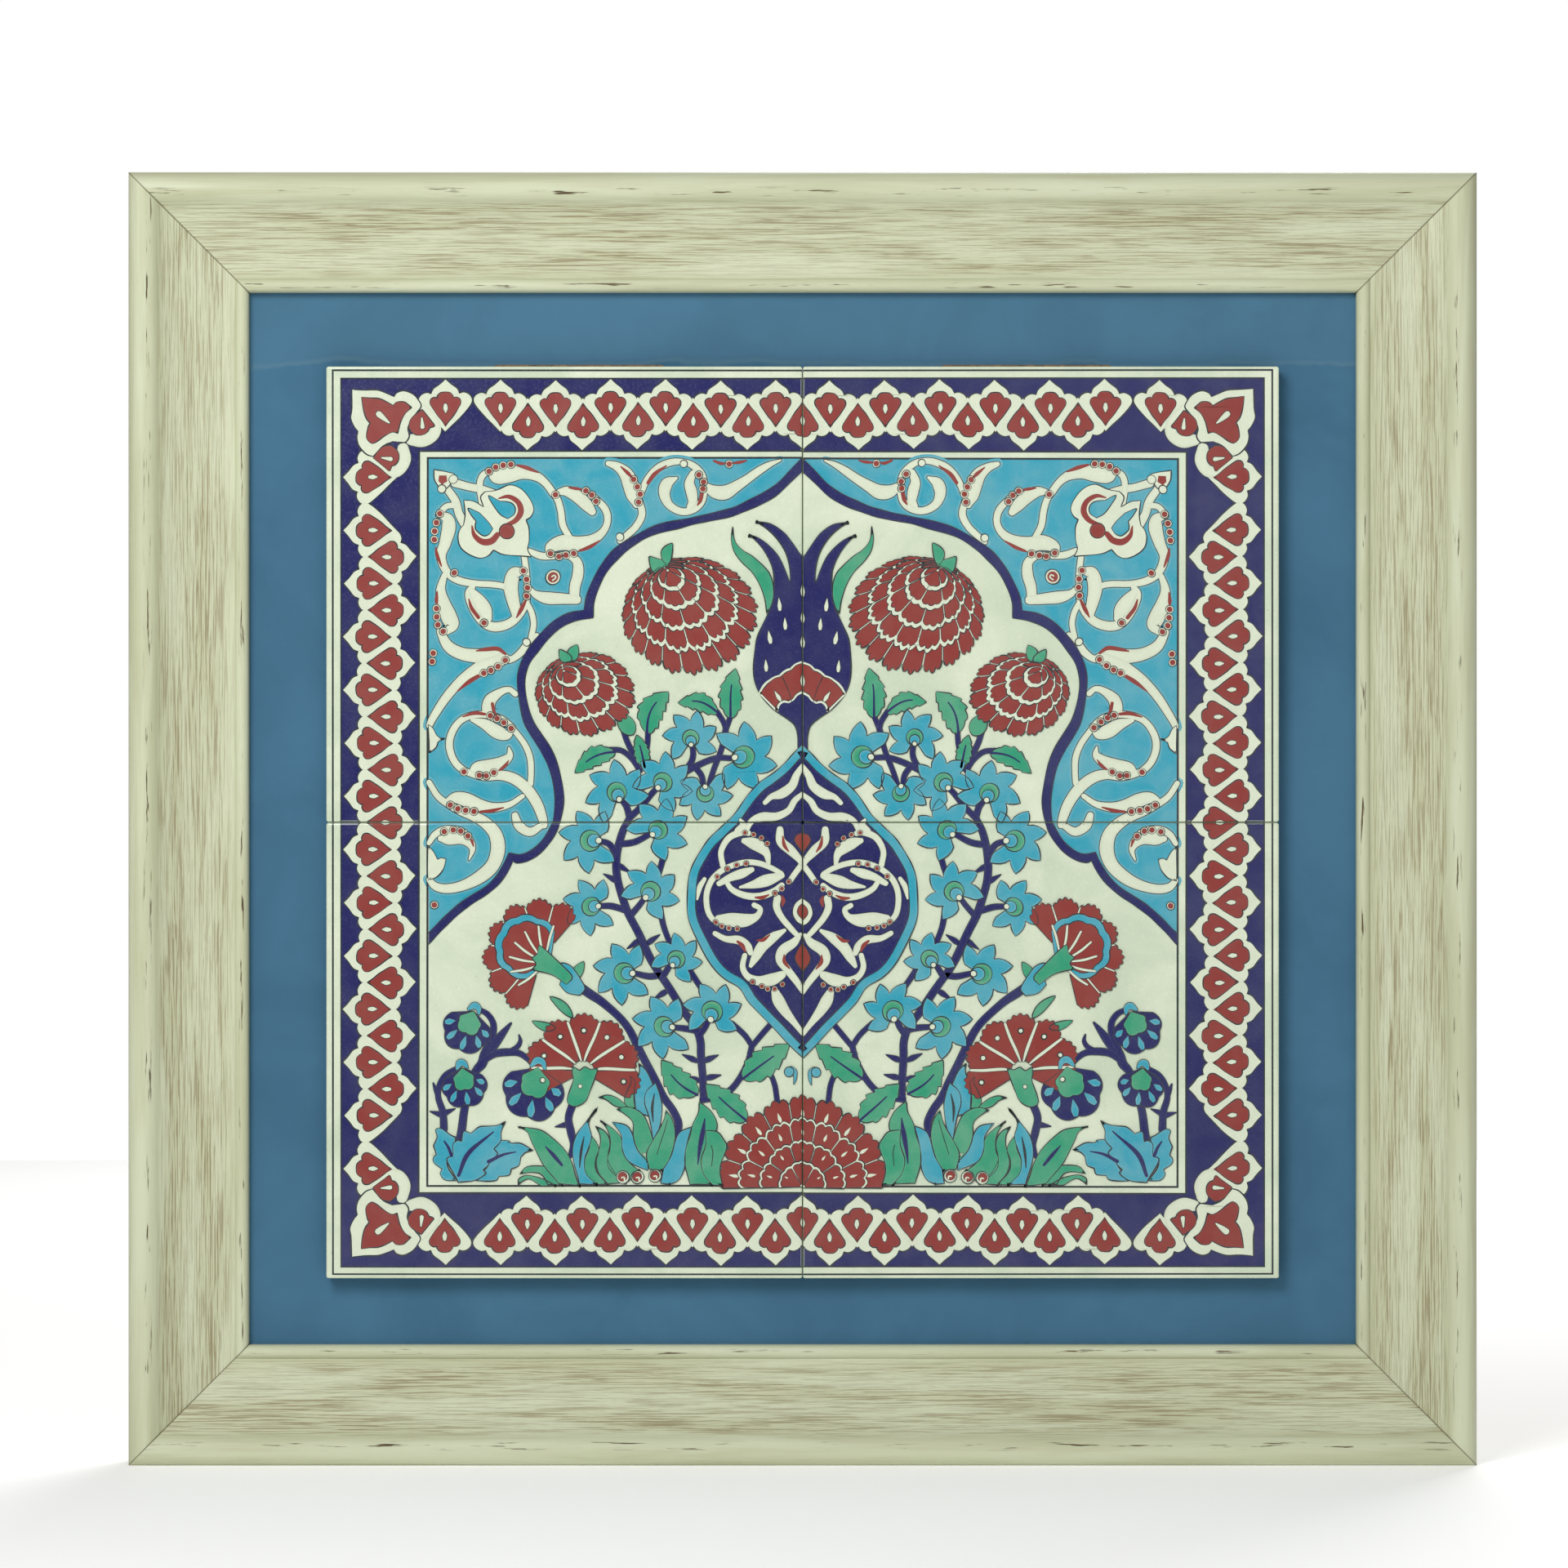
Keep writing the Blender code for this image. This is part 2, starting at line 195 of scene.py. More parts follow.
def dress(node, shader):
    """Gives a CAD node one material."""
    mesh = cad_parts[node].data
    mesh.materials.clear()
    mesh.materials.append(shader.material)


# Meshes.


def grid_faces(rows, columns, closed=False):
    """Quads between neighbouring rows and columns of points, and from the last column to the first
    if closed."""
    steps = columns if closed else columns - 1
    row, column = np.meshgrid(np.arange(rows - 1), np.arange(steps), indexing="ij")
    row, column = row.ravel(), column.ravel()
    beside = (column + 1) % columns
    corners = (row * columns + column, row * columns + beside, (row + 1) * columns + beside,
            (row + 1) * columns + column)
    return np.stack(corners, axis=1)


WELD = 1e-7
SMOOTH_ANGLE = 35.0


def add_piece(name, points, faces, shader, uv, marks):
    """Makes a piece from points and faces, closes its seams, turns its faces outwards and lets it
    ride on the frame."""
    mesh = bpy.data.meshes.new(name)
    mesh.from_pydata(np.asarray(points, float).tolist(), [], [list(map(int, f)) for f in faces])
    layer = mesh.uv_layers.new(name="surface")
    index = np.zeros(len(mesh.loops), np.int32)
    mesh.loops.foreach_get("vertex_index", index)
    layer.data.foreach_set("uv", np.asarray(uv, np.float32)[index].ravel())
    for mark, values in marks.items():
        mesh.attributes.new(mark, "FLOAT", "POINT").data.foreach_set("value",
                np.asarray(values, np.float32))
    bm = bmesh.new()
    bm.from_mesh(mesh)
    bmesh.ops.remove_doubles(bm, verts=bm.verts, dist=WELD)
    bmesh.ops.dissolve_degenerate(bm, edges=bm.edges, dist=WELD)
    bmesh.ops.recalc_face_normals(bm, faces=bm.faces)
    bm.to_mesh(mesh)
    bm.free()
    mesh.shade_smooth()
    mesh.set_sharp_from_angle(angle=math.radians(SMOOTH_ANGLE))
    mesh.materials.append(shader.material)
    piece = bpy.data.objects.new(name, mesh)
    bpy.context.scene.collection.objects.link(piece)
    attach(piece, BODY)
    return piece


# Brushwork. Everything is drawn in millimetres from the middle of the panel, on its left half, and
# mirrored.

LEVEL_STEP = 0.04 * MM
LIFT = 0.06
LIFT_CYCLE = 7
HALO_LEVEL, HALO_LIFT, HALO_CYCLE = 1.3, 0.11, 16
LINE = 0.42
THINNEST = 0.02


def smooth(points, per=6, closed=False):
    """A curve through every point. Between two points it blends them and their neighbours by
    Catmull-Rom weights."""
    p = np.asarray(points, float)
    p = np.vstack([p[-1:], p, p[:2]]) if closed else np.vstack([2 * p[0] - p[1], p, 2 * p[-1] - p[-2]])
    t = np.linspace(0, 1, per, endpoint=False)[:, None]
    weights = (
        -0.5 * t**3 + t**2 - 0.5 * t,
        1.5 * t**3 - 2.5 * t**2 + 1,
        -1.5 * t**3 + 2 * t**2 + 0.5 * t,
        0.5 * t**3 - 0.5 * t**2,
    )
    spans = [sum(w * p[i + k] for k, w in enumerate(weights)) for i in range(len(p) - 3)]
    return np.vstack(spans if closed else [*spans, p[-2:-1]])


def outline(*runs, per=5):
    """A closed outline of smooth runs that meet at corners. Each run starts where the one before it
    ends."""
    edge, last = [], runs[-1][-1]
    for run in runs:
        edge.append(smooth([last, *run], per)[:-1])
        last = run[-1]
    return np.vstack(edge)


def ways(points, closed):
    """The direction along a line at each of its points, and the direction to its left."""
    if closed:
        step = np.roll(points, -1, axis=0) - np.roll(points, 1, axis=0)
    else:
        step = np.gradient(points, axis=0)
    step /= np.maximum(np.linalg.norm(step, axis=1, keepdims=True), 1e-9)
    return step, np.stack([-step[:, 1], step[:, 0]], axis=1)


def signed_area(edge):
    x, z = edge.T
    return 0.5 * float(np.sum(x * np.roll(z, -1) - z * np.roll(x, -1)))


def inset(edge, by):
    """An outline moved inwards along its own normals."""
    _, left = ways(edge, True)
    return edge + left * by * np.sign(signed_area(edge))


class Paint:
    """The brushwork of every colour as flat patches. A patch's points are x, z, level and tone:
    tone is how deep the colour lies, 0 at the rim of a stroke where the glaze thins it and 1 in its
    middle."""

    def __init__(self):
        self.patches = {}
        self.copies = ((1, 1), (-1, 1))
        self.upright = False
        self.halos = 0
        self.strokes = 0

    def add(self, colour, points, faces, level, tone):
        """Keeps a patch and its mirror images. Each new stroke lies a hair higher than the one
        before it, and the count starts again after seven, so that few that cross lie in one plane."""
        level = level + LIFT * (self.strokes % LIFT_CYCLE)
        patch = np.column_stack([points, np.full(len(points), level), np.broadcast_to(tone, len(points))])
        for sx, sz in self.copies:
            half = -sx, (sz if self.upright else 0)
            self.patches.setdefault(colour, []).append((patch * (sx, sz, 1, 1), faces, half))

    def stroke(self, colour, spine, level, line=LINE, per=6):
        """A stroke of the brush along a smooth spine of (x, z, half width) points: a grid of four
        points across."""
        self.strokes += 1
        path = smooth(spine, per)
        way, left = ways(path[:, :2], False)
        half = np.maximum(path[:, 2], THINNEST)
        if line:
            self.ribbon("ink", path[:, :2], half + line, left, way, level - 0.5, False)
        self.ribbon(colour, path[:, :2], half, left, way, level, False)

    def ribbon(self, colour, path, half, left, way, level, closed, tones=(0.0, 1.0, 1.0, 0.0), core=0.45):
        if not closed:
            reach = np.array([0.92, 0.6])
            narrow = np.sqrt(1 - reach**2)
            start, end = path[0], path[-1]
            path = np.vstack([start - way[:1] * half[0] * reach[:, None], path,
                    end + way[-1:] * half[-1] * reach[::-1, None]])
            left = np.vstack([left[:1], left[:1], left, left[-1:], left[-1:]])
            half = np.concatenate([half[0] * narrow, half, half[-1] * narrow[::-1]])
        across = np.array([-1.0, -core, core, 1.0])
        points = path[None] + left[None] * half[None, :, None] * across[:, None, None]
        tone = np.repeat(tones, len(path))
        self.add(colour, points.reshape(-1, 2), grid_faces(4, len(path), closed), level, tone)

    def area(self, colour, edge, level, line=LINE, pool=0.7):
        """A filled outline: a rim of quads whose tone rises inwards, and its inside cut into triangles."""
        self.strokes += 1
        if signed_area(edge) < 0:
            edge = edge[::-1]
        inner = inset(edge, pool)
        count = len(edge)
        self.add(colour, np.vstack([edge, inner]), grid_faces(2, count, True), level,
                np.repeat([0.0, 1.0], count))
        flat = [[Vector((x, z, 0)) for x, z in inner]]
        self.add(colour, inner, np.array(tessellate_polygon(flat)), level, 1.0)
        if line:
            self.line(edge, level + 0.5, line, True)

    def line(self, path, level, line=LINE, closed=False, ink="ink"):
        """A line of even width along a path that is already smooth, a little fuller in some places
        than others."""
        self.strokes += 1
        path = np.asarray(path, float)
        way, left = ways(path, closed)
        half = line * 0.62 * (1 + 0.3 * np.sin(path[:, 0] * 0.5 + path[:, 1] * 0.37))
        self.ribbon(ink, path, half, left, way, level, closed)

    def disc(self, colour, x, z, radius, level, line=LINE, sides=18):
        angle = np.linspace(0, 2 * np.pi, sides, endpoint=False)
        self.area(colour, np.stack([x + radius * np.cos(angle), z + radius * np.sin(angle)], axis=1), level,
                line, radius * 0.4)

    def drop(self, colour, x, z, long, wide, turn, level, line=0.3):
        """A teardrop, its point towards turn, in degrees."""
        t = np.radians(turn)
        reach = np.array([-0.5, -0.2, 0.15, 0.5]) * long
        half = np.array([0.75, 1.0, 0.6, 0.05]) * wide
        spine = np.stack([x + reach * np.cos(t), z + reach * np.sin(t), half], axis=1)
        self.stroke(colour, spine, level, line, per=4)


def polar(centre, angle, radius):
    """Points at an angle in degrees and a distance from a centre."""
    a = np.radians(angle)
    return np.stack([centre[0] + radius * np.cos(a), centre[1] + radius * np.sin(a)], axis=-1)


paint = Paint()


# The border.

BAND_X, BAND_Z = (164.8, 198.7), (159.5, 190.9)
FIELD_X, FIELD_Z = 161.0, 156.4
PALMETTES = 7


def rectangle(x, z):
    return np.array([(-x, -z), (x, -z), (x, z), (-x, z)], float)


def frame_area(colour, inner, outer, level):
    """The flat ground between two rectangles, as four strips with mitred ends."""
    corners = np.vstack([rectangle(*outer), rectangle(*inner)])
    faces = np.array([(i, (i + 1) % 4, (i + 1) % 4 + 4, i + 4) for i in range(4)])
    paint.add(colour, corners, faces, level, 1.0)


def frame_line(x, z, width, level):
    grown = (x + width / 2, z + width / 2)
    frame_area("ink", (x - width / 2, z - width / 2), grown, level)


PALMETTE = (
    [(0, 15)],
    [(2.4, 12.8), (4.9, 10.9), (6.0, 8.7)],
    [(8.2, 9.1), (10.5, 7.9), (11.4, 5.7), (10.1, 3.1), (6.5, -1), (3, -4.3), (0, -7.3)],
)
HEART = (
    [(0, 9.7), (2, 9.4), (3.4, 7.9), (3.4, 7.1)],
    [(4.9, 7.3), (6.4, 6.3), (6.6, 4.5), (5.5, 2.5), (3.5, -0.5), (1.5, -2.9), (0, -5.2)],
)


def mirrored(runs):
    """The right half of an outline as smooth runs that meet at corners, and its mirror image."""
    start, edge = [runs[0][-1]] if len(runs[0]) == 1 else [], []
    for run in runs if not start else runs[1:]:
        edge.append(smooth([*start, *run], 4))
        start = [run[-1]]
    right = np.vstack(edge)
    return np.vstack([right, right[::-1][1:-1] * (-1, 1)])


def placed(edge, origin, along, outwards, scale=1.0):
    """An outline drawn as (along, outwards) brought to a place on the panel."""
    return np.asarray(origin) + np.outer(edge[:, 0] * scale, along) + np.outer(edge[:, 1] * scale, outwards)


def palmette(origin, along, outwards, scale=1.0):
    """A white palmette with a red heart and a white drop: two side lobes and a point, tapering to
    its foot."""
    half = mirrored(PALMETTE)
    heart = mirrored(HEART)
    paint.area("white", placed(half, origin, along, outwards, scale), 4, 0, 0.3)
    paint.line(placed(half, origin, along, outwards, scale), 3, 0.85, True)
    paint.area("red", placed(heart, origin, along, outwards, scale), 5, 0.34, 0.8)
    drop = np.array([(0, 0.9, 0.25), (0, 2.5, 0.95), (0, 4.0, 0.7)])
    spine = np.column_stack([placed(drop[:, :2], origin, along, outwards), drop[:, 2]])
    paint.stroke("white", spine, 6, 0.3, per=4)


def paint_border():
    paint.copies, paint.upright = ((1, 1), (-1, 1), (1, -1), (-1, -1)), True
    frame_area("cobalt", (BAND_X[0], BAND_Z[0]), (BAND_X[1], BAND_Z[1]), 1)
    for x, z, width in ((202.2, 194.2, 0.75), (BAND_X[1], BAND_Z[1], 0.6), (164.6, 159.4, 0.75),
            (FIELD_X, FIELD_Z, 0.85)):
        frame_line(x, z, width, 2.5)
    middle_z, middle_x = sum(BAND_Z) / 2, sum(BAND_X) / 2
    pitch_x, pitch_z, upright_scale = 23.65, 22.86, 1.03
    for k in range(PALMETTES):
        palmette((-pitch_x * (k + 0.5), middle_z), (1, 0), (0, 1))
        if k < PALMETTES - 1:
            palmette((-pitch_x * k, middle_z), (1, 0), (0, -1))
        palmette((-middle_x, pitch_z * (k + 0.5)), (0, 1), (-1, 0), upright_scale)
        if k < PALMETTES - 1:
            palmette((-middle_x, pitch_z * k), (0, 1), (1, 0), upright_scale)
    paint_corner()
    paint.copies, paint.upright = ((1, 1), (-1, 1)), False


DIAGONAL = 7.1


def across_corner(points):
    """Points mirrored in the corner's diagonal, which runs through the middles of the two bands."""
    return [(-p[1] - DIAGONAL, -p[0] - DIAGONAL, *p[2:]) for p in points]


def paint_corner():
    """A larger palmette that turns the corner, with a small heart on each side of its foot."""
    blank = [(-168, 164.5, 2.4), (-163, 164, 2.8), (-158.5, 167, 2.6), (-158.8, 172, 2.4),
            (-163.5, 178, 1.8)]
    heart = outline(
        [(-160, 172.5), (-158.4, 170.3), (-160.5, 169.3)],
        [(-161.3, 167.6), (-163.2, 166.4), (-165.8, 166.3), (-168, 167.6), (-169.6, 169.8)],
        [(-169, 173), (-166.5, 175.5), (-163.8, 177.3)],
    )
    for turn in (list, across_corner):
        paint.stroke("white", turn(blank), 4.2, 0.4)
        paint.area("red", np.array(turn([tuple(p) for p in heart])), 5.2, 0.34)
        paint.stroke("white", turn([(-163.6, 169.8, 0.9), (-164, 173.6, 0.3)]), 6.2, 0.3)
    white = outline(
        [(-189, 186), (-183, 186), (-179, 184.7), (-175.7, 183.3)],
        [(-174.5, 185), (-171.5, 185.8), (-167.5, 184), (-165, 181), (-164.2, 178.5), (-166.5, 175.5)],
        [(-168.7, 172.5), (-169.8, 169.5), (-169, 166), (-170.5, 163.6), (-173, 163.7), (-176, 164)],
        [(-179.5, 162.3), (-182.5, 159.5), (-184.5, 157.3)],
        [(-187.5, 158.5), (-190.5, 162), (-191.5, 165.5), (-191.2, 168.3)],
        [(-193, 170.5), (-194.5, 174), (-194, 178), (-193.9, 186.4)],
    )
    paint.area("white", white, 4.6, 0.45)
    red = outline(
        [(-186, 182.6), (-182, 182.3), (-178.5, 180.8), (-176.2, 179.5)],
        [(-174.5, 181), (-171.5, 181), (-169.5, 179.5), (-168.2, 178.3)],
        [(-171, 176), (-173, 172.5), (-173.8, 169), (-174, 167.5)],
        [(-176.5, 168), (-180, 166), (-182.5, 164), (-185, 163), (-187.4, 165.5), (-187, 170),
         (-186.2, 171.6)],
        [(-188, 174), (-189, 177.5), (-189.7, 183)],
    )
    paint.area("red", red, 5.6, 0.36)
    paint.stroke("white", [(-182.4, 175.6, 1.3), (-180.5, 174, 1.0), (-178, 172, 0.3)], 6.6, 0.3)


# The arch and the corners of the field above it.

ARCH_OUTER = (
    [(0, 156.4), (-4, 152.5), (-9, 147.2), (-14, 143.3), (-20, 140), (-28, 136.3), (-36, 134), (-45, 131.5),
     (-58, 129), (-66, 126), (-73, 122.5), (-80, 118.2), (-86, 112), (-90, 105), (-93, 98), (-94.3, 91.5)],
    [(-100, 90.4), (-106, 87.5), (-111, 83), (-115.5, 78), (-119.5, 72), (-121.6, 66), (-122.3, 60),
     (-121.5, 50),
     (-119.8, 43), (-117.2, 38), (-113.3, 31.5), (-109.8, 25), (-108, 20), (-107, 15), (-106.5, 9),
     (-106.7, 2),
     (-107.5, -1), (-111, -6.5), (-115.5, -11), (-121, -13.7), (-126, -13.2)],
    [(-128, -17.5), (-131.5, -23), (-137, -28.2), (-143, -32), (-150, -37), (-156, -42.5), (-161, -47.5)],
)
ARCH_INNER = (
    [(0, 150.5), (-5, 146), (-10, 141.2), (-16, 137.5), (-22, 134.8), (-30, 132), (-40, 129.6),
     (-48, 127.8),
     (-56, 125.5), (-65, 122.8), (-73, 118.6), (-80, 112.6), (-85, 106.5), (-88, 100), (-90, 94),
     (-90, 88)],
    [(-97, 87), (-103, 84.2), (-108, 80.2), (-112.5, 75), (-116.3, 70), (-118.3, 65), (-119, 59),
     (-118.2, 51),
     (-116, 44.5), (-112.7, 39), (-109, 33), (-105.8, 26), (-104, 20), (-103, 14), (-102.7, 8), (-103.6, 1),
     (-106, -5), (-111, -11.5), (-117, -16), (-122, -17.5), (-124.2, -16.8)],
    [(-126.5, -21.5), (-131, -27), (-137, -31.8), (-143, -36), (-150, -41.5), (-156, -47), (-161, -52.5)],
)


def joined(runs, per=4):
    """Smooth runs that meet at corners, end to end."""
    start, path = [], []
    for run in runs:
        path.append(smooth([*start, *run], per))
        start = [run[-1]]
    return np.vstack([path[0], *(p[1:] for p in path[1:])])


def vine(spine, level=4, halo=1.5, line=0.36):
    """A white stroke of a scroll. On turquoise the ground is left paler beside it, where the brush
    kept away."""
    if halo:
        path = smooth(spine, 5)
        way, left = ways(path[:, :2], False)
        paint.halos += 1
        paint.ribbon(
            "turquoise", path[:, :2], path[:, 2] + halo, left, way,
            HALO_LEVEL + HALO_LIFT * (paint.halos % HALO_CYCLE), False,
            (1.0, 0.0, 0.0, 1.0), 0.62,
        )
    paint.stroke("white", spine, level, line)


def beads(places, level=5.5, radius=1.75):
    """A row of small white buds with red hearts along the edge of a scroll."""
    for x, z in places:
        paint.disc("white", x, z, radius, level, 0.26, 12)
        paint.disc("red", x, z, radius * 0.72, level + 0.6, 0, 10)


def flick(*points, level=5.6):
    """A thin red stroke inside a white one."""
    paint.stroke("red", points, level, 0, per=5)


SPANDREL_VINES = (
    ((-149, 145.5, 1.7), (-143, 143.8, 1.6), (-137, 142.8, 1.7), (-131, 140.5, 2)),
    ((-152.5, 143.5, 1.5), (-149, 138, 1.7), (-147.5, 132, 1.7), (-144.5, 127, 2)),
    ((-137, 134, 1.5), (-138.3, 144, 1.3), (-137.5, 148.5, 1.3), (-135, 150.8, 1.2)),
    ((-134.2, 150.6, 1.2), (-131, 148.6, 3.0), (-126, 149.4, 3.4), (-120, 150.4, 2.7), (-114, 149, 1.9),
     (-110, 146, 1.5), (-107, 142, 1.5), (-105, 139, 1.4), (-103.8, 134, 1.4), (-103, 128, 1.4),
     (-100, 122.5, 1.3)),
    ((-104, 142.2, 1.3), (-100.5, 142.3, 2.2), (-96, 140, 2.7), (-92.5, 136.5, 2.5), (-90.3, 133.6, 1.6)),
    ((-89, 139.5, 1.3), (-84.8, 134.5, 1.5), (-83.8, 129.5, 1.4), (-85.5, 125, 1.6), (-90, 121.7, 2.2),
     (-97, 120, 3.1), (-103, 120.4, 3.2), (-108, 118.7, 2.4), (-109.3, 116.5, 1.5)),
    ((-117.5, 116.8, 1.2), (-113, 115, 1.5), (-108, 114.6, 1.3), (-102, 115, 1.3), (-97.5, 112.5, 1.9),
     (-96.8, 107, 2.3),
     (-98, 101.5, 2.2), (-98.3, 96.5, 2.0)),
    ((-97.3, 96, 1.9), (-104, 96.3, 2.3), (-110, 96.8, 2.5), (-115, 98.4, 1.6), (-117.5, 101, 0.8)),
    ((-120, 114.8, 1.2), (-119.3, 109, 1.3), (-118.6, 104, 1.2), (-118.5, 99, 1.2), (-119, 95, 1.3),
     (-121.5, 90, 1.7),
     (-125.5, 85.7, 1.9), (-131, 84, 2), (-136, 85, 1.8), (-140.3, 88.5, 1.3), (-143, 93.5, 1.4),
     (-143.6, 98, 1.6),
     (-142, 100.8, 1.2)),
    ((-142.5, 99, 1.5), (-139.5, 95, 2.9), (-136.8, 91, 3), (-135, 87.5, 1.5)),
    ((-121.5, 108, 1.6), (-124.5, 106.5, 2.8), (-125.5, 101, 3.0), (-124.6, 95, 2.6), (-123, 89, 2)),
    ((-118.5, 94, 1.2), (-116.5, 90, 1.2), (-115.5, 85, 1.2), (-116.5, 79, 1.2)),
    ((-148.5, 136, 1.2), (-153, 135.6, 1.2), (-156.3, 132, 1.3)),
    ((-156, 132.2, 1.0), (-152.6, 130.3, 2.4), (-152, 126, 2.9), (-153.6, 120, 2.4), (-155.6, 115, 2),
     (-154.6, 110, 1.7), (-151.3, 105.6, 1.5), (-146, 103, 1.5), (-140, 102.3, 1.3), (-133, 102.2, 1.3),
     (-128, 101, 1.2),
     (-126, 97.5, 1)),
    ((-154.2, 106, 1.2), (-155.6, 100, 1.9), (-154.6, 94, 2.8), (-152, 88, 3.2), (-150.3, 84.5, 2.6),
     (-152.3, 82, 1.4)),
    ((-155.5, 82, 1.5), (-152, 75.5, 2.3), (-146, 72, 2.6), (-139, 71.2, 3.0), (-133, 71.6, 3.4),
     (-128.5, 70.5, 2.2),
     (-125, 70, 1.4), (-121, 73, 1.5), (-117.5, 77.5, 1.5), (-114, 80.5, 1.3)),
    ((-129, 70, 2.6), (-136, 67, 3.3), (-142, 63.6, 2.6), (-148, 59, 2), (-154, 52.5, 1.8),
     (-158.5, 45.5, 1.6),
     (-160.4, 41.5, 1.3)),
    ((-123.4, 55.2, 1.3), (-126, 57, 1.2), (-130, 55.8, 1.6), (-134.3, 52.3, 2.5), (-135, 47.6, 2.6),
     (-132, 44.5, 1.4)),
    ((-124.6, 40.6, 1.3), (-130, 44.6, 1.4), (-138, 46.2, 1.4), (-146, 44, 1.4), (-150.5, 39, 1.5),
     (-152.2, 33, 1.5),
     (-150.5, 27, 1.4), (-146.5, 22.5, 1.4), (-141, 20, 1.3), (-136, 19.4, 1.5), (-130, 20.2, 2),
     (-124, 18.6, 2.3),
     (-118.5, 14.5, 2.4), (-114, 8, 2.2), (-111.5, 2, 1.9), (-110.8, -1, 1.6)),
    ((-142, 43.6, 0.8), (-136.5, 42, 2.3), (-131.5, 38.9, 2.9), (-127.5, 37.6, 2.2), (-125.3, 39.3, 1)),
    ((-124.4, 40, 1.2), (-120, 34, 1.3), (-117.5, 28, 1.3), (-116.8, 22, 1.2), (-117, 17, 1.2)),
    ((-126.6, 32, 0.4), (-126.4, 28.4, 1.6), (-130, 25.5, 2.6), (-135, 24, 2.9), (-140, 23.2, 2.4),
     (-142.5, 21.6, 1)),
    ((-160.6, 17, 1.2), (-157, 11.3, 1.3), (-152, 7.6, 1.4), (-146.5, 4.6, 1.6), (-141, 2.6, 2),
     (-136, -0.2, 2.4),
     (-131.8, -5, 2.8), (-130.8, -12, 3), (-133, -18.6, 2.8), (-139, -24, 2.5), (-146, -27.5, 2.1),
     (-153, -28.6, 1.9),
     (-158, -27.5, 1.7), (-160.4, -24.8, 1.2)),
    ((-153.5, 8.6, 1), (-149.5, 10.4, 2.2), (-144.5, 9.4, 2.8), (-138.5, 7.2, 2.5), (-133, 6.4, 2),
     (-126, 7.6, 1.3),
     (-120.5, 11.3, 1)),
    ((-160.4, -9, 1), (-158, -5.5, 1.3), (-154, -3.2, 1.4), (-149, -3.2, 1.5), (-145, -4.5, 1.3)),
    ((-155.3, -7, 1.3), (-152, -7, 2.7), (-147, -6.5, 3), (-143.4, -8.5, 2.3), (-141.7, -12, 1.2),
     (-143, -16.4, 0.3)),
    ((-123.3, 3, 1.4), (-121.5, -1.5, 2), (-117, -4, 1.8), (-112.5, -1.8, 1.3)),
    ((-83.5, 154, 1.1), (-79.5, 152.6, 1.9), (-75.8, 149.6, 2.8), (-73.5, 145, 3.3), (-72, 140, 3.2),
     (-71.3, 136.4, 1.5)),
    ((-69.8, 138, 1.3), (-69, 132, 1.5), (-71.5, 127, 1.5), (-75, 123.6, 1.4), (-78.6, 120.6, 1)),
    ((-69, 141, 1.2), (-66.5, 147, 1.4), (-62, 152, 1.5), (-56, 154.8, 1.4), (-51, 155, 1.2),
     (-46.8, 153.2, 1.4),
     (-43.3, 149.6, 1.5), (-42, 145, 1.4), (-42.6, 139, 1.4), (-46, 135, 1.5), (-51.5, 133.6, 1.5),
     (-57, 136.2, 1.8),
     (-59, 141, 2.3), (-57.8, 145.5, 2.4), (-54, 148, 0.6)),
    ((-47, 150, 1.4), (-48.3, 146, 2), (-47.3, 142, 2.3), (-47, 138, 1.9), (-48.5, 135.5, 1.2)),
    ((-41.2, 144.6, 1.4), (-37.5, 142.4, 2.7), (-33, 142.2, 3), (-28.5, 144.5, 2.4), (-23.5, 147.6, 1.9),
     (-18, 151.6, 1.6), (-13.5, 154.2, 1.1), (-9.5, 155.6, 0.4)),
)
SPANDREL_BEADS = (
    (-134.6, 150.8), (-131.8, 152.6), (-128.6, 153.4), (-125.3, 153.7), (-105.8, 141), (-92.7, 142.7),
    (-90.2, 140.8),
    (-88.5, 138), (-108.6, 115.8), (-105, 114.4), (-102, 115), (-98.6, 115.8), (-120.3, 108.2),
    (-118.8, 104.6),
    (-118.4, 101), (-118.8, 97.4), (-155.8, 132.6), (-157.3, 128.7), (-158, 125), (-158.2, 121.4),
    (-150, 107),
    (-157.6, 91.8), (-157.3, 88.2), (-156.6, 84.8), (-154.2, 82), (-127.6, 69.6), (-130.6, 67),
    (-133.6, 65.3),
    (-136.6, 64), (-125.3, 40.3), (-128.4, 42.8), (-131.3, 44.6), (-134.2, 45.8), (-145.6, 21.3),
    (-139, 20),
    (-136, 19.9), (-132.8, 21.4), (-151.4, 7.4), (-148, 5.7), (-144.6, 5), (-141, 4.6), (-153.7, -4),
    (-149.8, -3.3), (-146.6, -3.8), (-143.6, -6), (-72.3, 147.2), (-70.6, 144), (-69.4, 140.8),
    (-70.2, 137.4),
    (-44.4, 149.4), (-42.2, 146.3), (-42.4, 143.4), (-31.5, 154.4), (-158.6, 72.6), (-159, 69),
    (-158.4, -35.6), (-136.8, 85.6),
)
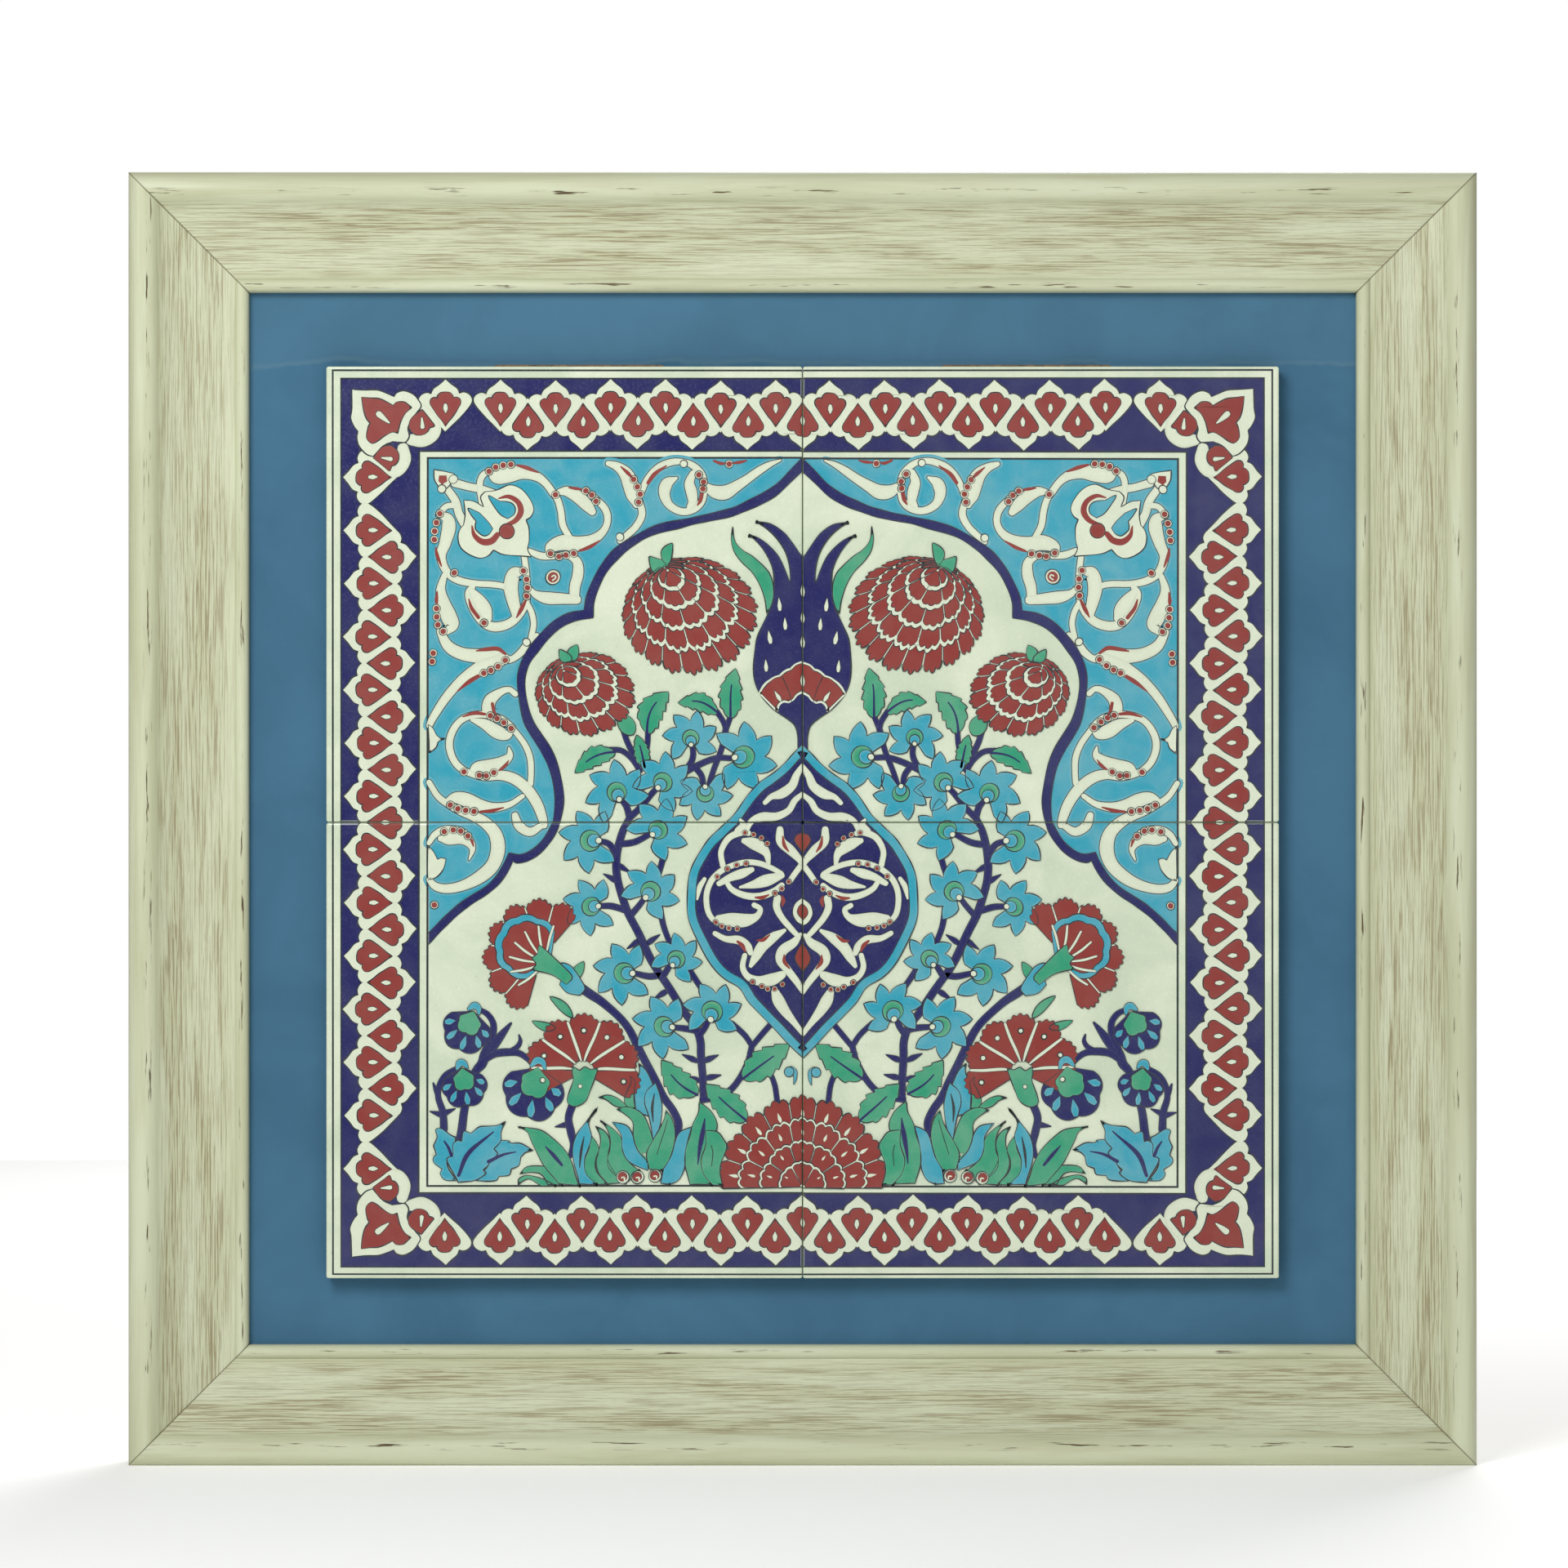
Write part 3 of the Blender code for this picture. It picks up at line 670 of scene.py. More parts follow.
SPANDREL_FLICKS = (
    ((-122.5, 153.4, 0.5), (-118, 152.4, 0.9), (-113.5, 150.8, 0.3)),
    ((-100, 144, 0.3), (-97, 143.7, 0.7), (-94.4, 143.3, 0.4)),
    ((-96, 117, 0.5), (-91.5, 118.6, 0.8), (-87, 121, 0.3)),
    ((-119.3, 95.4, 0.5), (-121.3, 91.4, 0.9), (-123, 88, 0.3)),
    ((-143.7, 95.5, 0.3), (-142.5, 91.7, 0.8), (-139.4, 87.8, 0.8)),
    ((-157.8, 118, 0.3), (-157.3, 114.5, 0.8), (-155.6, 110, 0.3)),
    ((-157.2, 99, 0.3), (-157.6, 95.6, 0.8), (-157.5, 93.5, 0.4)),
    ((-140, 73.4, 0.3), (-136, 74.2, 0.8), (-131, 74.6, 0.9), (-127.6, 72.4, 0.6)),
    ((-139, 62.6, 0.8), (-143, 60, 0.9), (-148, 56.2, 0.3)),
    ((-136.6, 46.4, 0.6), (-141, 46.6, 0.8), (-146, 45, 0.3)),
    ((-130.5, 22.4, 0.4), (-128.3, 24, 0.8), (-126.6, 26.5, 0.2)),
    ((-138.3, 4.5, 0.5), (-133.5, 5, 0.8), (-128.5, 6.3, 0.3)),
    ((-142, -8, 0.7), (-141.3, -10.5, 0.3)), ((-78, 152.6, 0.3), (-75, 150, 0.8), (-73, 148, 0.4)),
    ((-66, 145.6, 0.8), (-63.3, 149.4, 0.9), (-58.5, 153, 0.3)),
    ((-42.9, 141.3, 0.9), (-43.6, 138.4, 0.8), (-45, 136.3, 0.3)),
    ((-133.4, 51, 0.7), (-132.8, 48, 0.7), (-131.2, 45, 0.3)),
    ((-38, 155.6, 0.5), (-35, 154.6, 0.7), (-33, 154.8, 0.3)),
    ((-30, 154.8, 0.4), (-27, 155, 0.7), (-24, 155.6, 0.3)),
)


def paint_spandrels():
    """Turquoise above the arch with white scrolls on it, a palmette in the corner, and the cobalt
    band of the arch."""
    outer, inner = joined(ARCH_OUTER), joined(ARCH_INNER)
    ground = np.vstack([outer, [(-FIELD_X, FIELD_Z)]])
    paint.area("turquoise", ground, 1, 0, 0.5)
    band = np.vstack([outer, inner[::-1]])
    paint.area("cobalt", band, 8, 0, 0.5)
    paint.line(outer, 8.5, 0.3)
    paint.line(inner, 8.5, 0.3)
    for spine in SPANDREL_VINES:
        vine(spine)
    beads(SPANDREL_BEADS)
    for points in SPANDREL_FLICKS:
        flick(*points)
    body = outline(
        [(-130.9, 142.8), (-125.6, 144.9), (-120.4, 143.3), (-116.7, 139.1), (-115.4, 134.9),
         (-116.7, 131.7), (-118.8, 130.1)],
        [(-117.5, 126.5), (-117.5, 121.2), (-118.3, 117.5), (-116.9, 114.4)],
        [(-124.6, 114.6), (-129.3, 115.2), (-133, 117)],
        [(-135.6, 114.4), (-139.3, 113.3), (-144, 114.9), (-147.2, 118), (-148, 122.2), (-147.2, 125.4),
         (-145.6, 127.5)],
        [(-145, 132), (-145.3, 138)], [(-141, 137.6), (-136.9, 135.4)], [(-138, 139.5), (-136, 142)],
    )
    paint.area("white", body, 4.3, 0.36, 0.4)
    upper_hole = outline(
        [(-134.6, 140.4), (-132.5, 135.9), (-129.8, 132.2), (-126.7, 130.4)],
        [(-124, 132.2), (-123.3, 134.9), (-124.6, 137), (-127.2, 137.8), (-129.8, 138)],
    )
    lower_hole = outline(
        [(-143.6, 134.6), (-142.4, 131.7), (-140.3, 129.1)],
        [(-140.6, 127), (-140.1, 125.2), (-137.2, 123), (-134.6, 123.8), (-133, 126.2)],
        [(-135.1, 129.1), (-138.8, 132.8)],
    )
    for hole in (upper_hole, lower_hole):
        paint.area("turquoise", hole, 5.0, 0.36, 0.5)
    flick((-142, 127, 0.3), (-140.9, 123, 1.0), (-137.6, 120.4, 1.4), (-133.6, 120.9, 1.4),
            (-131, 123.6, 1.2))
    flick((-130.2, 139.2, 0.3), (-126, 139.9, 0.9), (-122, 137.6, 1.2), (-121, 133.6, 1.3),
            (-123.2, 129.8, 1.1), (-127, 127.6, 0.9))
    paint.disc("red", -127, 125, 3.3, 5.6, 0.3)
    bud = outline([(-154, 150.8), (-149.5, 149.6)], [(-150.6, 146), (-152.6, 143.4), (-156, 144)],
            [(-158, 147.5), (-158.3, 151.5)])
    paint.area("white", bud, 4.3, 0.36)
    paint.area("red", outline([(-152.8, 149)], [(-152.3, 146.4)], [(-154.6, 145)], [(-156.2, 146.6)],
            [(-156, 149)]), 5.2, 0)
    for x, z, radius in ((-149.8, 147.2, 1.9), (-154.6, 143.2, 1.8), (-51, 154.2, 1.6), (-118.4, 77.6, 1.7),
            (-78.4, 122.4, 1.7)):
        paint.disc("white", x, z, radius, 5.2, 0.3)
    paint.disc("white", -107.5, 105.6, 3.2, 4.4, 0.4)
    paint.disc("red", -107.5, 105.6, 2.3, 5, 0)
    paint.stroke("white", [(-108, 105.9, 0.3), (-107, 106.4, 0.3), (-106.3, 105.4, 0.3),
            (-107.6, 104.3, 0.3)], 5.6, 0)
    half = outline([(-158.5, -12.5), (-156.5, -16)], [(-155, -15.3), (-152.9, -15.8)],
            [(-154, -20), (-157, -23.5), (-160.9, -25)],
                   [(-160.9, -10)])
    paint.area("white", half, 4, 0.36)
    half = outline([(-159, 40.5), (-157.5, 37.5)], [(-156, 36.2), (-153.8, 36)], [(-157, 34.6)],
            [(-158, 32), (-160.9, 29.6)], [(-160.9, 42)])
    paint.area("white", half, 4, 0.36)


# Flowers, stems and leaves.


def star_flower(x, z, disc, facing, reach, petals=6, level=13):
    """A turquoise blossom of pointed, slightly turned petals round a green crescent and a small
    white bud."""
    span = 306 / petals
    share = np.tile(np.linspace(0, 1, 8, endpoint=False), petals)
    rise = (1 - np.abs(2 * share - 1)) ** 0.85
    angle = facing - 153 + span * (np.repeat(np.arange(petals), 8) + share) + 11 * rise
    inner = reach * 0.6
    rim = polar((x, z), angle, inner + (reach - inner) * rise)
    back = polar((x, z), facing + np.linspace(155, 205, 5), disc * 1.05)
    paint.area("turquoise", np.vstack([rim, back]), level, 0.34, 1.1)
    away = np.array([np.cos(np.radians(facing)), np.sin(np.radians(facing))])
    paint.disc("green", x, z, disc, level + 1, 0.34)
    paint.disc("turquoise", *((x, z) - away * disc * 0.34), disc * 0.64, level + 2, 0.3)
    paint.disc("white", *((x, z) - away * disc * 0.78), disc * 0.3, level + 3, 0.3)


def leaf(base, tip, width, bend=0.0, level=12, teeth=5, rib=0.72):
    """A green leaf with a toothed edge and a painted midrib. Its half width swells and falls as a
    sine along it."""
    base, tip = np.array(base, float), np.array(tip, float)
    t = np.linspace(0, 1, 6 * max(teeth, 4) + 1)
    way = (tip - base) / np.linalg.norm(tip - base)
    left = np.array([-way[1], way[0]])
    axis = base + np.outer(t, tip - base) + np.outer(np.sin(np.pi * t) * bend, left)
    tooth = 1 - 0.26 * ((t * teeth) % 1.0) if teeth else 1.0
    half = width * np.maximum(np.sin(np.pi * t**0.8), 0.0) ** 0.75 * tooth
    edge = np.vstack([axis - left * half[:, None], (axis + left * half[:, None])[::-1][1:-1]])
    paint.area("green", edge, level, 0.34, min(0.7, width * 0.25))
    if rib:
        spine = np.column_stack([axis, np.full(len(t), 0.55) * (1 - t * 0.7)])[: int(len(t) * rib)]
        paint.stroke("cobalt", spine[::4], level + 1, 0)


STEMS = (
    ((-43, -118, 1.2), (-43.2, -110, 1.4), (-43.5, -100, 1.5), (-43.8, -94, 1.5), (-46, -87.5, 1.5),
     (-50, -82, 1.5),
     (-54, -76, 1.5), (-58.5, -69.5, 1.5), (-63, -63, 1.5), (-67.5, -55, 1.5), (-71.5, -46.5, 1.5),
     (-76, -37, 1.5),
     (-79.3, -26, 1.5), (-79.6, -14, 1.5), (-77.4, -5, 1.4), (-74, 2, 1.3)),
    ((-74, 2, 1.3), (-75.5, 6.5, 1.2), (-78, 10, 1.1)),
    ((-74, 2, 1.3), (-69.5, 6.5, 1.2), (-65, 12, 1.1), (-62, 15, 1)),
    ((-78.5, -9.5, 1.2), (-72, -8.5, 1.2), (-65, -5, 1)),
    ((-80, -13.5, 1.2), (-83, -9.5, 1.2), (-87, -8, 1)),
    ((-76, -38, 1.2), (-82, -36.3, 1.2), (-87, -36, 1)),
    ((-74, -40, 1.2), (-70.5, -36, 1.1), (-68, -32.5, 1)),
    ((-61.5, -66, 1.2), (-66, -66.5, 1.2), (-72, -65, 1)),
    ((-60.5, -67, 1.2), (-58.5, -64, 1.1), (-57, -61.5, 1)),
    ((-45, -89.5, 1.2), (-50, -88.5, 1.2), (-55, -88, 1)),
    ((-44, -91, 1.2), (-41.5, -87.5, 1.1), (-40, -84, 1)),
    ((-61.5, -36, 1.1), (-60, -45, 1.1), (-57.5, -52, 1)),
    ((-58.5, -8, 1.1), (-60, -17, 1.1), (-63, -26, 1)),
    ((-50, -61, 1.1), (-45, -69, 1.1), (-40, -76, 1)),
    ((-31, 28, 1), (-37, 28, 1.1), (-44, 25.2, 1.2), (-52, 21, 1.2)),
    ((-47.8, 33, 1), (-47.5, 28.5, 1.1), (-49, 24.5, 1.2), (-53, 20, 1.2), (-58, 17, 1)),
    ((-42.8, 15.6, 1), (-43.5, 20, 1.1), (-46.5, 24, 1.1)),
    ((-33, 41.5, 1), (-35, 33, 1), (-38, 24, 1), (-40.5, 16, 0.9)),
    ((-37, 48, 1), (-34, 43.5, 1), (-33, 40, 1)),
    ((-31, 46, 1), (-33, 40.5, 1)), ((-66.5, 40, 1), (-67, 34, 1), (-68, 27, 1), (-66, 20, 1)),
    ((-77, 39, 1.1), (-75.5, 34, 1.1), (-73, 29.5, 1.1), (-68, 24, 1)),
    ((-83, 31, 1), (-78, 30.5, 1), (-73.5, 27, 1), (-70, 22, 1)),
    ((-30, -86, 1), (-25, -91, 1), (-21.5, -96, 1)), ((-12, -85, 1), (-17, -90.5, 1), (-21.5, -96, 1)),
    ((-21.5, -95.5, 1.1), (-23.5, -103, 1.1), (-29, -112, 1.2), (-35, -117, 1.3), (-43, -119, 1.4)),
    ((-22.5, -99, 1), (-15.5, -106, 1), (-12.5, -112, 1), (-11, -120, 1)),
    ((-106, -63, 1.3), (-99, -68, 1.8), (-92, -73, 1.7), (-85, -78, 1.5), (-76.3, -86.3, 1.5),
     (-70.8, -96.2, 1.5),
     (-64.7, -108.9, 1.5), (-60.3, -117.7, 1.5), (-55.9, -123.8, 1.5), (-53.7, -129.3, 1.5),
     (-54.5, -134, 1.4)),
    ((-99, -121, 1.5), (-100.9, -126.9, 1.4), (-99.9, -132.7, 1.5), (-98.6, -138, 1.2), (-99.6, -143, 0.8)),
    ((-147.2, -136, 1.7), (-145.6, -124, 1.5), (-141.5, -109, 1.4), (-137.7, -103.8, 1.8),
     (-136.1, -99.5, 1.9), (-132.5, -95.4, 2),
     (-128.6, -90.5, 1.3), (-125.1, -86.4, 0.3)),
    ((-138.6, -80.6, 0.9), (-135, -82.5, 1.1), (-132.7, -86.4, 1.2), (-133.2, -91.5, 1.3),
     (-136, -98, 1.4)),
    ((-137.6, -103, 1), (-132.5, -99.6, 1.4), (-127.2, -98.8, 1.5), (-121.9, -99.1, 1.2),
     (-118.3, -101.1, 1.1), (-115.6, -104, 0.9)),
    ((-126, -98.6, 0.8), (-122.6, -96.6, 0.9), (-121.2, -94, 0.7), (-121.7, -91.4, 0.2)),
    ((-154.5, -132, 1.5), (-154.9, -124.3, 1.3), (-156.8, -118, 1.1), (-156.3, -112.7, 1),
     (-153.5, -108.5, 1), (-148.3, -105.8, 0.9)),
    ((-159, -112.2, 0.2), (-158, -115, 0.7), (-156.4, -119, 0.8)),
)
THORNS = (
    (-64.5, -50.5, 35), (-82.5, -24, 150), (-76.5, -20, -30), (-48.5, -101, 155), (-39, -101, 25),
    (-47, -78, 20),
    (-61, -74.5, 215), (-73, -52.5, 215), (-38.5, -109, 15), (-48, -110, 165), (-157.2, -125.2, 165),
    (-152.6, -124.4, 20), (-103.4, -130, 190),
)
STAR_FLOWERS = (
    (-48.3, 36.3, 3.6, 90, 12.2), (-25.8, 28.3, 4.8, 0, 15.2), (-60.2, 17, 4.1, 50, 13.2),
    (-42, 12.5, 3.7, -90, 12),
    (-80, 12.8, 4.2, 110, 14), (-91, -7.8, 4.5, 180, 14), (-91, -36, 4, 180, 12.6),
    (-61.8, -3.3, 4.1, 40, 13.8),
    (-65.5, -30, 4.3, 50, 13), (-54.3, -58.8, 3.8, 60, 11.4), (-76.6, -65, 4.5, 180, 13.8),
    (-59.3, -88, 4.4, 180, 14),
    (-38.5, -81, 4.5, 80, 13),
)
LEAVES = (
    ((-67, 38), (-57.5, 56), 6.2, 3), ((-68, 23.5), (-71.5, 37.5), 3.6, 0),
    ((-36.5, 47.5), (-53.7, 51.5), 4.4, -2.5),
    ((-31, 45), (-28.5, 66.5), 5.4, 1), ((-81, 30), (-98, 21.5), 4.8, -2.5),
    ((-45.5, -117), (-60.5, -102.5), 6.4, 2),
    ((-24.5, -128), (-42, -112.5), 6.4, 0), ((-26, -110), (-5.5, -95.5), 6.6, 0),
)


def cone_point(focus, centre, radii, angle, share):
    """A place in a set of nested ellipses. They grow from the focus, where share is 0, to the
    outline at 1."""
    angle = np.radians(angle)
    middle_x = focus[0] + (centre[0] - focus[0]) * share
    middle_z = focus[1] + (centre[1] - focus[1]) * share
    return np.stack([middle_x + radii[0] * share * np.cos(angle),
            middle_z + radii[1] * share * np.sin(angle)], axis=-1)


def carnation(focus, centre, radii, rows, level, start=0.0, sweep=360.0, lobes=3, drops=True):
    """Rows of red petals edged with white, one over another like scales, from the outline in to the
    focus."""
    for row, (share, petals) in enumerate(rows):
        inner = rows[row + 1][0] * 0.86 if row + 1 < len(rows) else share * 0.12
        base, span, white = level + 1.6 * row, sweep / petals, 0 if row == 0 else 0.75 / radii[1]
        across = np.linspace(0, 1, 4 * lobes + 1)
        lobe = 0.045 * np.abs(np.sin(np.pi * lobes * across)) + 0.05 * np.sin(np.pi * across)
        around = start + span * (np.arange(petals)[:, None] + across[None, :-1])
        whole = sweep > 359
        angle = np.concatenate([around.ravel(), [] if whole else [start + sweep]])
        rim = np.concatenate([np.tile(lobe[:-1], petals), [] if whole else [0.0]])
        edge = cone_point(focus, centre, radii, angle, share * (0.94 + rim) + white)
        if not whole:
            edge = np.vstack([edge, cone_point(focus, centre, radii, np.array([start + sweep, start]),
                    share * 0.1)])
        paint.area("white", edge, base, 0.34, 0.4)
        for k in range(petals):
            gap = min(0.1, 0.36 / (math.radians(span) * radii[1] * share))
            inside = gap + across * (1 - 2 * gap)
            out = cone_point(focus, centre, radii, start + span * (k + inside),
                    share * (0.94 + lobe) - 0.5 * white)
            foot = cone_point(focus, centre, radii, start + span * (k + inside[::-4]), inner)
            paint.area("red", np.vstack([out, foot]), base + 0.8, 0.24, 0.5)
            if drops and span * share > 14:
                away = cone_point(focus, centre, radii, start + span * (k + 0.5),
                        np.array([share * 0.84, share]))
                turn = math.degrees(math.atan2(*(away[1] - away[0])[::-1]))
                paint.drop("white", *away[0], 3.2 * share + 0.6, 0.6 * share + 0.15, turn, base + 1.6, 0)


def fan(foot, radius, inner, start, sweep, petals, level, teeth=4, dots=True, rib=0.62):
    """Red petals spread from one foot, each with a toothed outer edge, with white ribs between them."""
    span = sweep / petals
    across = np.linspace(0, 1, 4 * teeth + 1)
    tooth = np.abs(np.sin(np.pi * teeth * across + 0.4))
    for k in range(petals):
        reach = radius * (0.82 + 0.12 * np.sin(np.pi * across) + 0.06 * tooth)
        edge = np.vstack([polar(foot, start + span * (k + across), reach),
                polar(foot, start + span * (k + across[::-4]), inner)])
        paint.area("red", edge, level + 0.7 * (k % 2), 0.3, 0.5)
        if dots:
            place = polar(foot, start + span * (k + 0.5), radius * 0.7)
            paint.disc("white", *place, radius * 0.045, level + 2.4, 0.4, 12)
    for k in range(1, petals):
        turn = start + span * k + np.array([9, 4, 0, -1]) * np.sign(90 - start - span * k)
        path = polar(foot, turn, np.array([inner, radius * 0.36, radius * 0.62, radius * 0.86]))
        paint.stroke("white", np.column_stack([path, [rib * 0.5, rib, rib, rib * 0.8]]), level + 2, 0.22)


def bud(cap, facing, size, level=13):
    """A small hanging carnation: a scalloped cobalt head, turquoise petals on it, a green calyx and
    a turquoise cap."""
    angle = np.linspace(-88, 88, 41)
    wide = 0.6 + 0.4 * np.cos(np.radians(angle))
    foot = polar(cap, facing, size * 0.2)
    head = polar(foot, facing + angle,
            size * 0.84 * wide * (0.92 + 0.1 * np.abs(np.sin(np.radians(angle) * 4))))
    paint.area("cobalt", np.vstack([head, [cap]]), level, 0.25)
    for turn, far, long in ((-62, 0.48, 0.2), (-30, 0.56, 0.26), (4, 0.58, 0.28), (38, 0.54, 0.24),
            (66, 0.44, 0.17)):
        place = polar(foot, facing + turn, size * far)
        paint.drop("turquoise", *place, size * long, size * 0.07, facing + turn + 180, level + 1, 0.22)
    calyx = polar(foot, facing + angle,
            size * 0.4 * wide * (0.9 + 0.14 * np.abs(np.sin(np.radians(angle) * 3))))
    paint.area("green", np.vstack([calyx, [cap]]), level + 2, 0.3)
    arch = polar(cap, facing + np.array([90, 150, 200, 270]), size * 0.13)
    paint.stroke("turquoise", np.column_stack([arch, [0.5, 1.2, 1.4, 0.6]]), level + 3, 0.3)


def blade(colour, left, right, level):
    """A long leaf between a left edge that rises to its tip and a right edge that falls from it."""
    paint.area(colour, outline([right[-1], *left[:1]], left[1:], right), level, 0.34, 0.7)


def paint_bank():
    """The bank of leaves along the foot of the field, with small cobalt carnations at the corner."""
    bud((-140.8, -81.4), -112, 18)
    bud((-146.4, -105.8), -84, 16.5)
    bud((-113.6, -104.8), -103, 22.5)
    first = outline(
        [(-157.2, -135.3), (-158, -132.2), (-155.6, -131.6), (-151.4, -134.5), (-149.2, -135.5)],
        [(-149.5, -139), (-150.2, -143), (-152.5, -145.5), (-152, -149), (-148.5, -154.2)],
        [(-153.5, -153.7), (-155.6, -151.1), (-154.8, -149)],
        [(-158.2, -146.4), (-158.5, -144.2), (-157.2, -142.7)], [(-158.5, -139)],
    )
    middle_leaf = outline(
        [(-152.7, -145.3), (-150.1, -143.2), (-150.1, -138.5), (-148.2, -136.9), (-146.6, -137.4)],
        [(-145.9, -133.2), (-142.7, -134)],
        [(-139.3, -131.1), (-135.6, -130.6), (-131.4, -130.1), (-128, -128.5)],
        [(-129.8, -132.7), (-129.8, -136.9), (-132.5, -140.3)], [(-130.9, -142.7), (-134.6, -145.3)],
        [(-134.6, -146.9), (-137.2, -149.5)], [(-136.1, -151.1), (-140.9, -154.2), (-147.7, -155)],
    )
    last = outline(
        [(-134.6, -147), (-132.5, -140.3), (-129.8, -136.9), (-126.1, -136.9)],
        [(-125.1, -137.9), (-120.9, -137.9), (-115.6, -140.6)],
        [(-118.8, -141.6), (-120.9, -143.7)], [(-121.9, -147.4), (-125.1, -149)],
        [(-126.1, -151.6), (-130.4, -152.1)],
        [(-131.4, -153.7), (-134.6, -154.2), (-140.9, -154.2)],
    )
    for edge, level in ((first, 13), (last, 13), (middle_leaf, 14)):
        paint.area("turquoise", edge, level, 0.36, 0.9)
    paint.stroke("cobalt", [(-147.7, -152, 0.7), (-143.5, -142.7, 1), (-133.2, -133, 0.3)], 15, 0)
    paint.stroke("cobalt", [(-154, -137, 0.3), (-152, -140, 0.6), (-150.6, -143.4, 0.7)], 15, 0)
    paint.stroke("cobalt", [(-134.8, -145.8, 0.8), (-129, -143, 0.6), (-123, -141.6, 0.2)], 15, 0)
    blade("green", [(-104.6, -155), (-110.9, -147.3), (-114.1, -141.3), (-116.7, -136.5), (-118.6, -132.8),
            (-122.7, -130.7)],
          [(-113.5, -131.6), (-108.3, -134.8), (-102, -140.6), (-99, -146), (-97.5, -151.5),
           (-95.7, -155.8)], 14)
    paint.stroke("cobalt", [(-110.5, -138.8, 0.2), (-107, -142.6, 0.8), (-103.4, -147, 0.6)], 15, 0)
    blade("green", [(-109, -155.6), (-112, -151), (-116, -150), (-121.5, -151)],
            [(-118.4, -147.8), (-113, -147.2), (-109, -148.4), (-103, -155.6)], 13)
    blade("green", [(-112, -155.8), (-117, -153), (-120, -154), (-122, -155.8)],
            [(-121.6, -153), (-118, -151.4), (-112, -152.6), (-106, -155.8)], 13.6)
    blade("turquoise", [(-95.7, -155), (-98.5, -143.7), (-97.8, -134.8), (-93, -128), (-88, -122.2)],
          [(-92.2, -128.5), (-90.9, -134.8), (-92, -140), (-93.5, -144.8), (-93, -150.6), (-88.3, -155.5)],
          15)
    paint.stroke("ink", [(-94.1, -134.8, 0.2), (-95, -141, 0.6), (-95.7, -148, 0.2)], 16, 0)
    blade("green", [(-89, -155.6), (-93.3, -150.6), (-93.6, -145), (-91.6, -139.6), (-91.4, -134)],
          [(-88.6, -137.5), (-87.4, -141), (-88.6, -146), (-87.4, -151), (-83.5, -155.6)], 14.2)
    blade("green", [(-83.6, -155.6), (-88.4, -150), (-88.8, -145), (-87, -139.4), (-87.3, -134.4),
            (-89.4, -130.4)],
          [(-85.4, -132.8), (-83, -136.5), (-82.7, -141), (-83.6, -145), (-81, -150.4), (-76, -155)], 14.8)
    blade("green", [(-76, -155.6), (-82.8, -149.4), (-83.6, -144.2), (-82.6, -138.1), (-84, -132.6),
            (-87.3, -128)],
          [(-81, -132.6), (-77.9, -136.4), (-77.2, -141.4), (-74.1, -146.4), (-70.2, -149.8)], 15.2)
    blade("green", [(-76.5, -123), (-81, -122), (-84.5, -119.4), (-88, -118.2)],
            [(-84, -117.4), (-80, -118.6), (-76.8, -121), (-72, -125.5)], 12.4)
    blade("turquoise", [(-71.9, -124.5), (-72.7, -117.7), (-71.6, -112), (-70.2, -107), (-70.5, -103.6)],
          [(-67.5, -106.7), (-65.3, -111.4), (-63, -118), (-62.5, -128)], 12.6)
    blade("green", [(-75.7, -122.8), (-76.8, -119.3), (-75.4, -114.9), (-74, -112), (-74.4, -109.1)],
          [(-72.3, -111.8), (-72.6, -116), (-71.9, -123.4)], 12.8)
    blade("turquoise", [(-64.4, -136.5), (-66.4, -126.5), (-68, -121), (-67.4, -116), (-63.6, -112.2)],
          [(-61.8, -116.6), (-60.6, -122.1), (-61.4, -129.3), (-63, -136.5)], 13.4)
    paint.stroke("ink", [(-63.9, -117, 0.2), (-64.8, -123, 0.6), (-64.6, -129, 0.2)], 14.4, 0)
    blade("turquoise", [(-66.4, -149.9), (-74.6, -145.8), (-77.4, -140.3), (-78.2, -134.4), (-82.3, -129)],
          [(-76, -130.4), (-73, -134.8), (-70.8, -140.8), (-66.4, -146)], 15.8)
    blade("green", [(-67.2, -145.3), (-70.8, -140.8), (-73, -134.8), (-73.3, -129), (-76.8, -125.4),
            (-80.1, -123.5)],
          [(-75.7, -122.4), (-71.3, -123.8), (-68, -127.1), (-64.7, -135.9), (-62.8, -142)], 16.3)
    blade("turquoise", [(-60.8, -155.4), (-59.5, -148.6), (-56.6, -144), (-55.1, -138.3), (-53, -133),
            (-47.9, -130.6)],
          [(-48.7, -134.8), (-50.1, -140.3), (-50.6, -148), (-53.1, -153.5), (-57, -155.6)], 15.6)
    blade("green", [(-65.8, -149.3), (-66.9, -143), (-64.7, -137.5), (-60.3, -129), (-58.9, -123.8)],
          [(-56.4, -127.6), (-55.1, -133.1), (-55.3, -139.2), (-57, -144.7), (-60.3, -149.9)], 17)
    paint.stroke("ink", [(-58.4, -128, 0.15), (-60.5, -136, 0.18), (-62.4, -143, 0.15)], 18, 0)
    blade("green", [(-48.2, -155.4), (-50.4, -146.9), (-49.8, -138.6), (-47.6, -129.8), (-45, -124.5),
            (-44.6, -119.9)],
          [(-39.5, -124), (-37.1, -129.3), (-38.2, -134), (-41.6, -139.6), (-43.2, -145.3), (-42.4, -151),
           (-38.8, -155.4)], 16)
    paint.stroke("cobalt", [(-42.4, -127.1, 0.2), (-43.5, -135.3, 1.1), (-44.9, -146.9, 0.2)], 18, 0)
